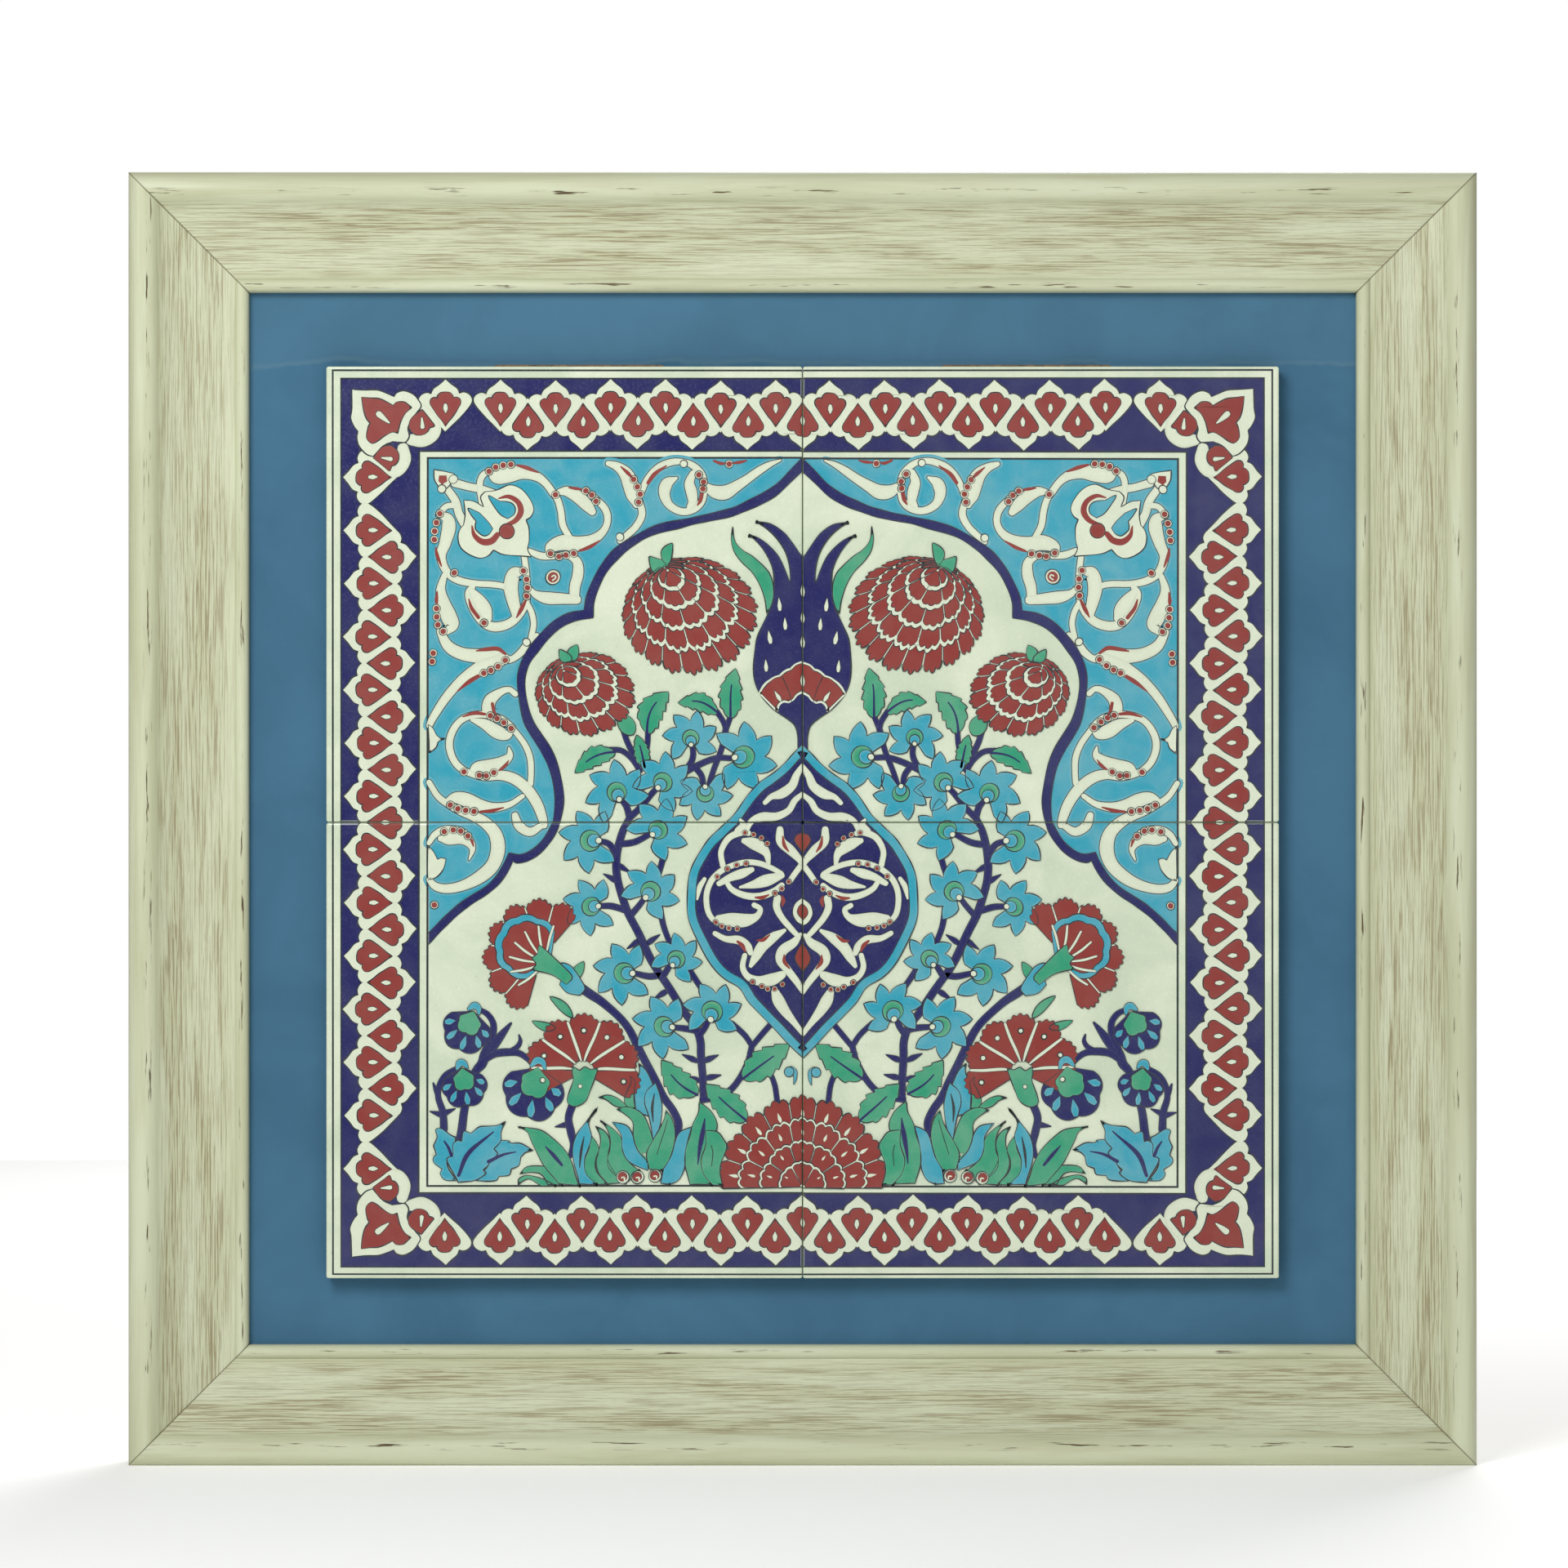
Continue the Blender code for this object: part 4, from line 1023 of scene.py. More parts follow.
    blade("green", [(-38.4, -155.5), (-42.3, -151.3), (-43.5, -145.3), (-41.6, -138.6), (-42.1, -132.3)],
          [(-37.1, -132.6), (-34.4, -135.3), (-32.5, -139.2), (-34.9, -145.8), (-35.4, -150.2),
           (-34.2, -155.5)], 17.2)
    paint.stroke("ink", [(-39.2, -138.5, 0.15), (-38.4, -142, 0.2), (-39, -147.5, 0.15)], 18.4, 0)
    for x, z in ((-77.1, -152.6), (-70.8, -152.6), (-63.3, -152.2)):
        paint.disc("white", x, z, 2.75, 18, 0.34)
        paint.disc("red", x - 0.2, z + 0.2, 2.0, 19, 0.2)
        paint.stroke("white", [(x + 0.8, z - 1.6, 0.3), (x + 0.6, z - 0.2, 0.35), (x - 0.5, z - 0.2, 0.3)],
                19.8, 0)
    paint.disc("turquoise", -5.9, -107.4, 2.1, 12.4, 0.3)
    paint.stroke("turquoise", [(-5, -105.9, 0.7), (-3.4, -107.4, 0.8), (-3.3, -110.5, 0.5),
            (-3.8, -112.6, 0.1)], 12.6, 0.3)


def paint_flowers():
    for spine in STEMS:
        paint.stroke("cobalt", spine, 10, 0.25)
    for x, z, turn in THORNS:
        paint.drop("cobalt", x, z, 6.5, 1.1, turn, 9.5, 0.25)
    for base, tip, width, bend in LEAVES:
        leaf(base, tip, width, bend)
    for flower in STAR_FLOWERS:
        star_flower(*flower)
    carnation((-58.5, 108.5), (-48.8, 89.3), (28.5, 24.6),
            ((1, 19), (0.77, 13), (0.56, 9), (0.36, 6), (0.18, 3)), 12, drops=False)
    leaf((-73, 37.5), (-79, 47), 3.6, 0, 12.4, 0, 0)
    leaf((-58.0, 110.4), (-66.4, 113.8), 3.2, 2.4, 16, 0, 0)
    leaf((-59.0, 110.6), (-56.0, 120.0), 2.4, 1.2, 16.5, 0, 0)
    carnation((-102.5, 65.5), (-93.5, 55.5), (21, 17.6), ((1, 15), (0.74, 10), (0.48, 6), (0.22, 3)), 12.6,
            drops=False)
    leaf((-98.6, 69.6), (-96.6, 76.6), 2.4, 0.8, 16, 0, 0)
    leaf((-99.2, 69.6), (-104.4, 74.4), 2.2, 0.8, 16.5, 0, 0)
    fan((-112.5, -57.5), 25.5, 8, 48, 208, 7, 13.47, 5, False, 0.3)
    ring = polar((-118.5, -53.5), np.linspace(30, 270, 25),
            13.4 + 0.9 * np.abs(np.sin(np.linspace(0, 6 * np.pi, 25))))
    paint.area("turquoise", np.vstack([ring, [(-108.5, -60.5)]]), 16, 0.34, 0.8)
    inner_ring = polar((-118, -53.8), np.linspace(34, 266, 25),
            10.8 + 0.8 * np.abs(np.sin(np.linspace(0, 6 * np.pi, 25))))
    paint.area("red", np.vstack([inner_ring, [(-109.5, -60)]]), 17, 0.34, 0.8)
    for turn in range(78, 226, 24):
        rib = polar((-110.5, -59.5), np.array([turn + 10, turn + 4, turn]), np.array([3, 10, 15.5]))
        paint.stroke("white", np.column_stack([rib, [0.3, 0.5, 0.4]]), 18, 0.2)
    paint.area("green", outline([(-113.5, -52.5), (-110, -55), (-104, -60.5)],
            [(-99, -66), (-101.5, -69.5)],
                                [(-107, -65.5), (-112, -63.8), (-116.5, -63)],
                                [(-114.5, -60.5), (-116.5, -58)], [(-114, -56)]), 20, 0.34)
    paint.area("turquoise", outline([(-104, -60.5), (-99.5, -61.5), (-96, -66)],
            [(-93.5, -71), (-95.5, -74)],
                                    [(-101, -73), (-104.5, -69.5)], [(-103, -66)]), 19, 0.34)
    leaf((-98.5, -67), (-94, -59.5), 2.2, 0, 18, 0, 0)
    leaf((-106, -88.3), (-116, -85), 1.8, 0.5, 12.4, 0, 0)
    leaf((-98.5, -83.5), (-108.5, -74.5), 1.9, -0.6, 12.4, 0, 0)
    fan((-94.5, -107), 25.5, 5, -32, 240, 7, 13, 5)
    paint.area("green", outline([(-98.8, -105), (-96, -106.2), (-93.6, -104.8), (-91, -106), (-88, -105.6)],
                                [(-91.4, -114.5), (-93.5, -119.5), (-97.8, -121.8), (-101, -120.4),
                                 (-100.9, -116.9), (-98.8, -110.6)]), 17, 0.34)
    paint.disc("white", -95.9, -113.1, 0.9, 18, 0.3)
    paint_bank()
    half_rows = ((1, 9), (0.75, 7), (0.5, 5), (0.27, 3))
    carnation((0, -157), (0, -157), (36, 38.5), half_rows, 14, 0, 180)


TULIP = (
    [(0, 114)], [(-1.5, 115.5), (-4.5, 120), (-8, 124.5), (-13.5, 128.3), (-20.2, 129.3)],
    [(-15.5, 126.5), (-11, 122), (-7.5, 116), (-5.8, 109.5), (-5.3, 103)],
    [(-6, 104), (-8, 109), (-11, 115), (-15.5, 120), (-20, 122.8), (-23.3, 123.4)],
    [(-21, 122), (-17.5, 118), (-14.5, 112.5), (-12.7, 107), (-12.5, 100), (-13.2, 95), (-15, 90),
     (-17.5, 84),
     (-19.7, 78), (-20.8, 70), (-20.6, 63), (-19.3, 57.5), (-16.8, 53), (-12.5, 48.5), (-7.5, 45),
     (-3.5, 41.5),
     (-2.2, 37), (-2, 31), (0, 31)],
)
TULIP_RED = (
    [(0, 68.5)], [(-3, 67.5), (-5, 65.5)], [(-7, 64.8), (-9.5, 63)], [(-12, 62.3), (-15, 60)],
    [(-16.8, 58), (-18.4, 55.6)],
    [(-14.5, 51.5), (-11, 48)], [(-10.5, 50.5), (-8.5, 52), (-6, 51.5)],
    [(-4, 52.5), (-2.5, 54.5), (0, 56)],
)


def paint_tulip():
    paint.area("cobalt", mirrored(TULIP), 13, 0.38, 0.9)
    red = mirrored(TULIP_RED)
    paint.area("white", red, 14, 0, 0.3)
    paint.line(red, 14.4, 0.9, True, "white")
    paint.area("red", inset(red, 0.45), 15, 0.25, 0.5)
    paint.line(smooth([(-8.5, 62.5), (-6.2, 57), (-4.8, 51.8)]), 16, 0.35)
    for x, z, long, wide, turn in (
        (-10.2, 94, 5, 0.85, 95), (0, 100, 5, 0.85, 90), (-14, 80, 5, 0.9, 100), (0, 88.5, 4.6, 0.8, 90),
        (0, 78, 5, 0.9, 90),
        (-15.5, 67.8, 4.6, 0.8, 95), (-10.8, 54.6, 4.4, 0.8, 120), (0, 61.5, 5, 0.9, 90),
        (-7.5, 85.5, 4.6, 0.8, 95),
    ):
        paint.drop("white", x, z, long, wide, turn, 16.4, 0.25)
    paint.area("green", outline(
        [(-30.6, 122), (-29.5, 116.5), (-26.5, 112), (-22, 107.5), (-18.5, 102), (-16.5, 96), (-15.7, 90)],
        [(-13.3, 94), (-12.7, 98), (-13, 103), (-14.5, 107), (-17, 110), (-22, 114.5), (-26, 117.2),
         (-29, 121.2), (-30, 127.5)],
    ), 12.4, 0.34, 0.6)


# The medallion in the middle.

MEDALLION = (
    [(0, 33.2)], [(-4.2, 29.2), (-8, 25.2), (-12.6, 21.4), (-18.2, 17.6), (-22, 13.8), (-24.9, 10.2),
     (-29.4, 3.2), (-34.8, -2.1),
                  (-40.4, -7.4), (-45.6, -15.6), (-48.8, -23.5), (-49.8, -32.2), (-49.2, -41.3),
                  (-46, -49.9), (-40.4, -59.5),
                  (-34.8, -65.8), (-28.1, -70)],
    [(-26.2, -72), (-23, -77), (-18.2, -81.9), (-12.6, -87.9), (-6, -95.5), (0, -101.5)],
)
MEDALLION_VINES = (
    ((-34, -18, 1.2), (-34.8, -12, 1.2), (-31.5, -6.5, 1.3), (-26, -4.2, 1.4), (-23, -4.6, 1.2)),
    ((-25, -7.8, 1.2), (-21.5, -8.8, 2.4), (-17.8, -10.6, 2.5), (-15.2, -13.4, 1.6), (-14.3, -17.5, 0.8)),
    ((-9, -22, 1), (-13, -19.5, 1.1), (-18, -17.6, 1.2), (-24, -17, 1.2), (-29.5, -18, 1.2),
     (-34.5, -20.3, 1.2),
     (-38.8, -24.4, 1.2), (-41.2, -29.4, 1.2), (-41.5, -34.4, 1.2), (-40.2, -39.4, 1.2), (-37.2, -43, 1.1)),
    ((-21.5, -20.2, 1.1), (-26, -21.8, 2.0), (-31, -23.3, 1.6), (-36, -26, 1.1)),
    ((-21, -35.4, 1.1), (-18.3, -37.2, 1.1), (-20, -40.4, 1.5), (-25, -41.9, 2.8), (-31, -41.4, 2.9),
     (-36, -41.2, 1.8)),
    ((-33, -24.5, 1), (-30.5, -28.4, 1.2), (-25, -31.2, 1.4), (-19, -31.7, 1.5), (-13, -29.7, 1.4),
     (-9, -27, 1.2)),
    ((-27, -27.6, 0.5), (-21, -26.6, 1.7), (-15.5, -24.8, 2.5), (-9, -22.8, 1.4)),
    ((-5.5, -25.5, 1.2), (-3, -22, 1.2), (0, -18, 1.2)),
    ((-11, -32.5, 1.6), (-11.3, -36.3, 1.5), (-9, -41, 1.3), (-5, -46, 1.2), (-1.8, -49.5, 1)),
    ((-38, -47.5, 1.1), (-33.5, -49.6, 1.3), (-28, -50.2, 1.8), (-24, -53, 1.6), (-22.5, -56, 1.1)),
    ((-8, -46.5, 0.8), (-13, -49.2, 2.1), (-17.5, -53, 2.4), (-20.2, -57.7, 1.9), (-22.2, -61.5, 0.9)),
    ((-25, -57, 1.1), (-25.7, -62, 1.2), (-23.6, -66, 1.4), (-19, -68, 2), (-13.4, -67.4, 2.6),
     (-9, -65.6, 1.8)),
    ((-9.5, -3, 1.4), (-9.3, -8, 1.9), (-5.4, -11.9, 2), (-1.6, -16, 1.4), (0, -18.5, 1.2)),
    ((-1, -48.5, 0.8), (-4, -52, 1.9), (-8.6, -55, 2.3), (-9.6, -59, 1.9), (-6.6, -63.4, 1.6),
     (-2.4, -69, 1.4), (0, -73, 1)),
    ((-11.8, -72.6, 1.6), (-10.2, -76.4, 2.4), (-7.2, -81.4, 2), (-3.4, -86.5, 1.3), (0, -91, 1)),
    ((0, 24, 1), (-2.6, 20, 1.5), (-4.6, 15.5, 1.9), (-9, 12.4, 2.1), (-13.4, 11.2, 1.3), (-16.2, 8.6, 1)),
    ((0, 12, 0.9), (-3.5, 9, 1.3), (-6, 5, 1.4), (-11, 2.6, 1.7), (-17, 2.4, 1.9), (-21.5, 0.6, 1.3),
     (-23.6, -3, 1)),
    ((-26.4, 1.2, 0.6), (-25.2, -1.4, 1.6), (-27.6, -3.6, 1.4)),
    ((-45.5, -33, 0.4), (-44.4, -28, 1.1), (-42, -24.2, 0.8)),
)
MEDALLION_BEADS = (
    (-24.5, -4.4), (-20.8, -5.2), (-17.5, -6.6), (-15, -9), (-24, -17.6), (-28, -18), (-32, -19.6),
    (-36.5, -23), (-12, -30.3),
    (-9, -28.5), (-6, -25.7), (-37.5, -42.6), (-35, -44.2), (-32, -45), (-28.4, -45.4), (-21.5, -68.5),
    (-17.5, -70.3),
    (-15, -71.4), (-12, -71.4), (-8.7, -69.6),
)
MEDALLION_FLICKS = (
    ((-20.5, -32.2, 0.4), (-17.6, -32.2, 0.8), (-14.8, -31, 0.3)),
    ((-8.9, -36, 0.3), (-8.4, -33.8, 0.9), (-9, -31.6, 0.3)),
    ((-28.4, -50.8, 0.5), (-26.2, -52.8, 0.9), (-24.8, -55.4, 0.3)),
    ((-20, -50.6, 0.3), (-17.4, -50.4, 0.8), (-14.6, -48.2, 0.3)),
    ((-6, -12.6, 0.3), (-7.8, -9.8, 0.8), (-8.4, -6, 0.3)),
    ((-8, -57, 0.3), (-7.8, -60, 0.8), (-5.6, -63, 0.3)),
)


def paint_medallion():
    """A pointed oval of cobalt with a turquoise border, white scrolls, and a red heart in its middle."""
    edge = mirrored(MEDALLION)
    paint.area("turquoise", edge, 15, 0.36, 0.8)
    ground = inset(edge, 3.7)
    paint.area("cobalt", ground, 16.5, 0.34, 1.0)
    for spine in MEDALLION_VINES:
        vine(spine, 18.5, 0, 0.3)
    beads(MEDALLION_BEADS, 19.5, 1.25)
    for points in MEDALLION_FLICKS:
        flick(*points, level=19.6)
    paint.area("red", mirrored(([(0, -4.5)], [(-2.6, -5.6), (-3.4, -8.4), (0, -13.4)])), 19.4, 0.3, 0.5)
    paint.area("white", mirrored(([(0, -32.5)], [(-3.4, -35.4), (-4.4, -39.4), (-2.6, -43), (0, -44.6)])),
            18.4, 0.3, 0.5)
    paint.area("red", mirrored(([(0, -35)], [(-1.8, -36.8), (-2.2, -39.4), (0, -42.2)])), 19.4, 0.3, 0.4)
    paint.area("red", mirrored(([(0, -52)], [(-2.6, -56), (-3.2, -59.6), (0, -64.5)])), 19.4, 0.3, 0.5)


# Firing: the brushwork becomes meshes on the four tiles.


TRIM = 0.12
BENDS = (0.35, 1.0)
SMALLEST_FACE = 1e-6


def fire(colour, corner, shader):
    """Makes the sheets of one colour on one tile. They are cut off at the joint and follow the
    tile's rounded edge: near the edge they drop by the rounding less the height of its arc. The
    sheets stop TRIM millimetres short of the tile's side, and are cut again at BENDS so that they
    can follow the arc."""
    side, rise = CORNERS[corner]
    kept = [(p, f) for p, f, half in paint.patches.get(colour, []) if half[0] == side and half[1] in (0,
            rise)]
    if not kept:
        return
    starts = np.cumsum([0] + [len(p) for p, _ in kept[:-1]])
    flat = np.vstack([p for p, _ in kept])
    x, z, level, tone = flat.T
    x, z = x + wander(z, x, 0.9 * side), z + wander(x, z, 2.1 + side)
    points = np.stack([x * MM + JOINT_X, TILE_FACE - level * LEVEL_STEP, z * MM + JOINT_Z], axis=1)
    faces = []
    for start, (_, patch) in zip(starts, kept):
        corners = np.asarray(patch) + start
        px, pz = x[corners], z[corners]
        area = np.sum(px * np.roll(pz, -1, axis=1) - pz * np.roll(px, -1, axis=1), axis=1)
        faces += [c[::-1] if a < 0 else c for c, a in zip(corners.tolist(), area) if abs(a) > SMALLEST_FACE]
    mesh = bpy.data.meshes.new(f"tile_{corner}_{colour}")
    mesh.from_pydata(points.tolist(), [], faces)
    mesh.attributes.new("tone", "FLOAT", "POINT").data.foreach_set("value", tone.astype(np.float32))
    bm = bmesh.new()
    bm.from_mesh(mesh)
    for axis, sign, joint in ((0, side, JOINT_X), (2, rise, JOINT_Z)):
        for depth in (TRIM, *BENDS):
            place, outwards = [0, 0, 0], [0, 0, 0]
            place[axis], outwards[axis] = joint + sign * (JOINT_HALF + depth * MM), -sign
            everything = [*bm.verts, *bm.edges, *bm.faces]
            bmesh.ops.bisect_plane(bm, geom=everything, dist=1e-8, plane_co=place, plane_no=outwards,
                    clear_outer=depth == TRIM)
    if not bm.faces:
        bm.free()
        return
    bm.to_mesh(mesh)
    bm.free()
    places = np.zeros(len(mesh.vertices) * 3)
    mesh.vertices.foreach_get("co", places)
    places = places.reshape(-1, 3)
    for axis, sign, joint in ((0, side, JOINT_X), (2, rise, JOINT_Z)):
        depth = np.clip(sign * (places[:, axis] - joint) - JOINT_HALF, 0, TILE_ROUND)
        places[:, 1] += TILE_ROUND - np.sqrt(TILE_ROUND**2 - (TILE_ROUND - depth) ** 2)
    mesh.vertices.foreach_set("co", places.ravel())
    mesh.update()
    mesh.materials.append(shader.material)
    piece = bpy.data.objects.new(mesh.name, mesh)
    bpy.context.scene.collection.objects.link(piece)
    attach(piece, BODY)


def wander(along, across, phase):
    """How far the hand wanders from the drawn line: two slow sines that fade out at the joints."""
    fade = np.minimum(np.abs(across) / 14, 1)
    return fade * (0.3 * np.sin(along * 0.083 + phase) + 0.14 * np.sin(along * 0.31 + 2 * phase))


def glaze(name, deep, thin, mottle=0.5, roughness=0.16, sheet=True):
    """A glazed colour: deep in the middle of a stroke, thin at its rim and in cloudy patches, under
    a clear coat."""
    shader = Shader(name, deep, roughness, coat=0.15, specular=0.4)
    here = shader.place()
    cloud = shader.noise(here, 70.0, 4.0, 0.55, 0.4)
    grain = shader.noise(here, 900.0, 3.0, 0.6)
    depth = cloud.over(0.25, 0.72) * mottle + (1.0 - mottle)
    if sheet:
        depth = depth * (shader.attribute("tone") * 0.75 + 0.25)
    depth = depth * (grain * 0.5 + 0.75)
    shader.set("Base Color", shader.mix(depth, thin, deep))
    shader.set("Roughness", grain.over(0.3, 0.75) * 0.16 + roughness)
    swell = shader.noise(here, 34.0, 2.0, 0.4)
    shader.bump(swell + grain * 0.02, 0.0005, 0.6)
    return shader


def tile_glaze(white):
    """The tiles' own milky glaze, with faint greenish pools and fine pits."""
    shader = Shader("tile_glaze", white, 0.18, coat=0.15, specular=0.4)
    here = shader.place()
    cloud = shader.noise(here, 26.0, 4.0, 0.6, 0.5)
    grain = shader.noise(here, 700.0, 3.0, 0.6)
    pale = tuple(min(c * 1.07, 1.0) for c in white)
    dull = tuple(c * k for c, k in zip(white, (0.86, 0.91, 0.88)))
    base = shader.mix(cloud.over(0.3, 0.7), dull, pale)
    pits = shader.noise(here, 420.0, 2.0, 0.5).over(0.74, 0.8)
    base = shader.mix(pits * 0.35, base, srgb(120, 128, 120))
    shader.set("Base Color", base)
    shader.set("Roughness", grain.over(0.3, 0.75) * 0.16 + 0.16)
    shader.bump(shader.noise(here, 34.0, 2.0, 0.4) + grain * 0.02 - pits * 0.06, 0.0005, 0.6)
    return shader


# The frame.

RAIL_LOW, RAIL_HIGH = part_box("rail_top")
RAIL_WIDE = (RAIL_HIGH.z - RAIL_LOW.z) / MM
RAIL_DEEP = (RAIL_HIGH.y - RAIL_LOW.y) / MM
HALF_WIDE = RAIL_HIGH.x
HALF_HIGH = (RAIL_HIGH.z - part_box("rail_bottom")[0].z) / 2
FRAME_MIDDLE = (RAIL_HIGH.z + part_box("rail_bottom")[0].z) / 2
OUTER_BEAD = 7.0
SIGHT_BEAD = 3.0
SIGHT_BEAD_HEIGHT = 13.5
SCOOP_LOW = 14.5
REBATE = (8.0, 10.0)
OUTER_BEAD_END = 40.0
SCOOP_STEEP, SCOOP_FLAT = 8.0, 12.5
BEAD_STEPS, SCOOP_STEPS = 22, 34
OUTER_CREST, SIGHT_CREST = 16, 10


def arc(centre, radius, start, end, steps):
    angle = np.radians(np.linspace(start, end, steps))
    return np.stack([centre[0] + radius * np.cos(angle), centre[1] + radius * np.sin(angle)], axis=1)


def rail_section():
    """A rail's section as (distance in from its outer edge, height off its back): a quarter-round
    back, a scoop that is one Bezier curve of the third degree, a bead at the sight edge, and the
    rebate behind."""
    outer = arc((OUTER_BEAD, RAIL_DEEP - OUTER_BEAD), OUTER_BEAD, 180, OUTER_BEAD_END, BEAD_STEPS)
    top = outer[-1]
    start = 180 - math.degrees(math.asin((SCOOP_LOW - SIGHT_BEAD_HEIGHT) / SIGHT_BEAD))
    sight = arc((RAIL_WIDE - SIGHT_BEAD, SIGHT_BEAD_HEIGHT), SIGHT_BEAD, start, 0, BEAD_STEPS)
    foot = sight[0]
    slope = np.radians(OUTER_BEAD_END)
    handles = (top, top + SCOOP_STEEP * np.array([np.sin(slope), -np.cos(slope)]),
            np.array([foot[0] - SCOOP_FLAT, SCOOP_LOW]), foot)
    t = np.linspace(0, 1, SCOOP_STEPS)[1:-1, None]
    weights = ((1 - t) ** 3, 3 * t * (1 - t) ** 2, 3 * t**2 * (1 - t), t**3)
    scoop = sum(w * h for w, h in zip(weights, handles))
    back = [(RAIL_WIDE, REBATE[1]), (RAIL_WIDE - REBATE[0], REBATE[1]), (RAIL_WIDE - REBATE[0], 0), (0, 0)]
    return np.vstack([outer, scoop, sight, back]), len(outer), len(outer) + len(scoop)


def rail(side, shader):
    """One mitred rail: its section carried along, each line of it as long as the frame is at that
    distance in."""
    section, scoop_start, scoop_end = rail_section()
    half = HALF_WIDE if side in ("top", "bottom") else HALF_HIGH
    inset_by = section[:, 0] * MM
    from_end = np.array([0, 0.25, 0.6, 1.2, 3, 12, 45, 100]) * MM
    share = np.concatenate([-(1 - from_end / half), (1 - from_end[::-1] / half)])
    along = np.sign(share) * (half - inset_by[:, None] - (1 - np.abs(share)) * half)
    length = np.concatenate([[0], np.cumsum(np.linalg.norm(np.diff(section, axis=0), axis=1))]) * MM
    ahead, inwards = {
        "top": ((1, 0, 0), (0, 0, -1)), "right": ((0, 0, 1), (-1, 0, 0)),
        "bottom": ((1, 0, 0), (0, 0, 1)), "left": ((0, 0, 1), (1, 0, 0)),
    }[side]
    centre = np.array([0, RAIL_HIGH.y, FRAME_MIDDLE])
    reach = HALF_HIGH if side in ("top", "bottom") else HALF_WIDE
    edge = centre - np.array(inwards) * reach
    points = edge + along[..., None] * np.array(ahead)
    points = points + (inset_by[:, None, None] * np.array(inwards)) + (section[:, 1] * MM)[:, None,
            None] * np.array([0, -1, 0])
    rows, columns = along.shape
    faces = grid_faces(rows, columns).tolist()
    faces += [((rows - 1) * columns + k, (rows - 1) * columns + k + 1, k + 1,
            k) for k in range(columns - 1)]
    cap = tessellate_polygon([[Vector((p[0], p[1], 0)) for p in section]])
    faces += ([tuple(i * columns for i in c) for c in cap]
            + [tuple(i * columns + columns - 1 for i in c) for c in cap])
    turn = SIDES.index(side)
    uv = np.stack([along + 1.7 * turn, np.broadcast_to(length[:, None], along.shape) + 0.31 * turn],
            axis=-1)
    mitre = np.broadcast_to(((1 - np.abs(share)) * half)[None], along.shape)
    row = np.arange(rows)
    in_scoop = np.clip(np.minimum(row - scoop_start + 2, scoop_end - row + 1) / 6, 0, 1)
    crest = (np.exp(-(((row - OUTER_CREST) / 3.0) ** 2))
            + np.exp(-(((row - scoop_end - SIGHT_CREST) / 4.0) ** 2)))
    marks = {
        "mitre": mitre.ravel(), "scoop": np.repeat(in_scoop, columns), "crest": np.repeat(crest, columns),
    }
    piece = add_piece(
        f"rail_{side}_moulding", points.reshape(-1, 3), faces, shader, uv.reshape(-1, 2),
        marks
    )
    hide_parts(f"rail_{side}")


def limed_wood(look):
    """Pale milk paint over brown wood: it lies thin in the grain, which runs along the rail, and is
    rubbed off in short dashes along the crests of the beads and in a hair line at each mitre."""
    shader = Shader("limed_wood", tuple(look.paint), 0.55, specular=0.35)
    streak = shader.noise(shader.along((34.0, 1500.0, 1.0)), 1.0, 4.0, 0.62, 0.35)
    fine = shader.noise(shader.along((120.0, 4200.0, 1.0)), 1.0, 3.0, 0.6)
    broad = shader.noise(shader.along((9.0, 120.0, 1.0)), 1.0, 3.0, 0.5, 0.5)
    scoop = shader.attribute("scoop")
    crest = shader.attribute("crest")
    pale, dark, bare = tuple(look.paint), tuple(look.grain), tuple(look.wood)
    base = shader.mix(broad.over(0.3, 0.7) * 0.55, pale, tuple(look.shade))
    patchy = broad.over(0.32, 0.62) * 0.6 + 0.4
    amount = streak.over(0.47, 0.6) * patchy * (scoop * 0.62 + 0.06) * look.streaks
    base = shader.mix(amount, base, dark)
    base = shader.mix(fine.over(0.54, 0.72) * (scoop * 0.4 + 0.05) * look.streaks, base, dark)
    dash = shader.noise(shader.along((42.0, 620.0, 1.0)), 1.0, 3.0, 0.6)
    rubbed = dash.over(0.585, 0.66) * crest.over(0.35, 0.9) * look.wear
    base = shader.mix(rubbed, base, bare)
    seam = 1.0 - shader.attribute("mitre").over(0.0, 0.0007)
    base = shader.mix(seam * 0.75, base, bare)
    shader.set("Base Color", base)
    shader.set("Roughness", streak * 0.22 + 0.42 + rubbed * 0.1)
    shader.bump(1.0 - amount * 0.6 - rubbed * 0.8 - seam * 0.8 + fine * 0.2, 0.0002, 0.7)
    return shader


CARD_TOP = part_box("blue_card")[1].z - 0.018
TIDE_DROP = 0.012


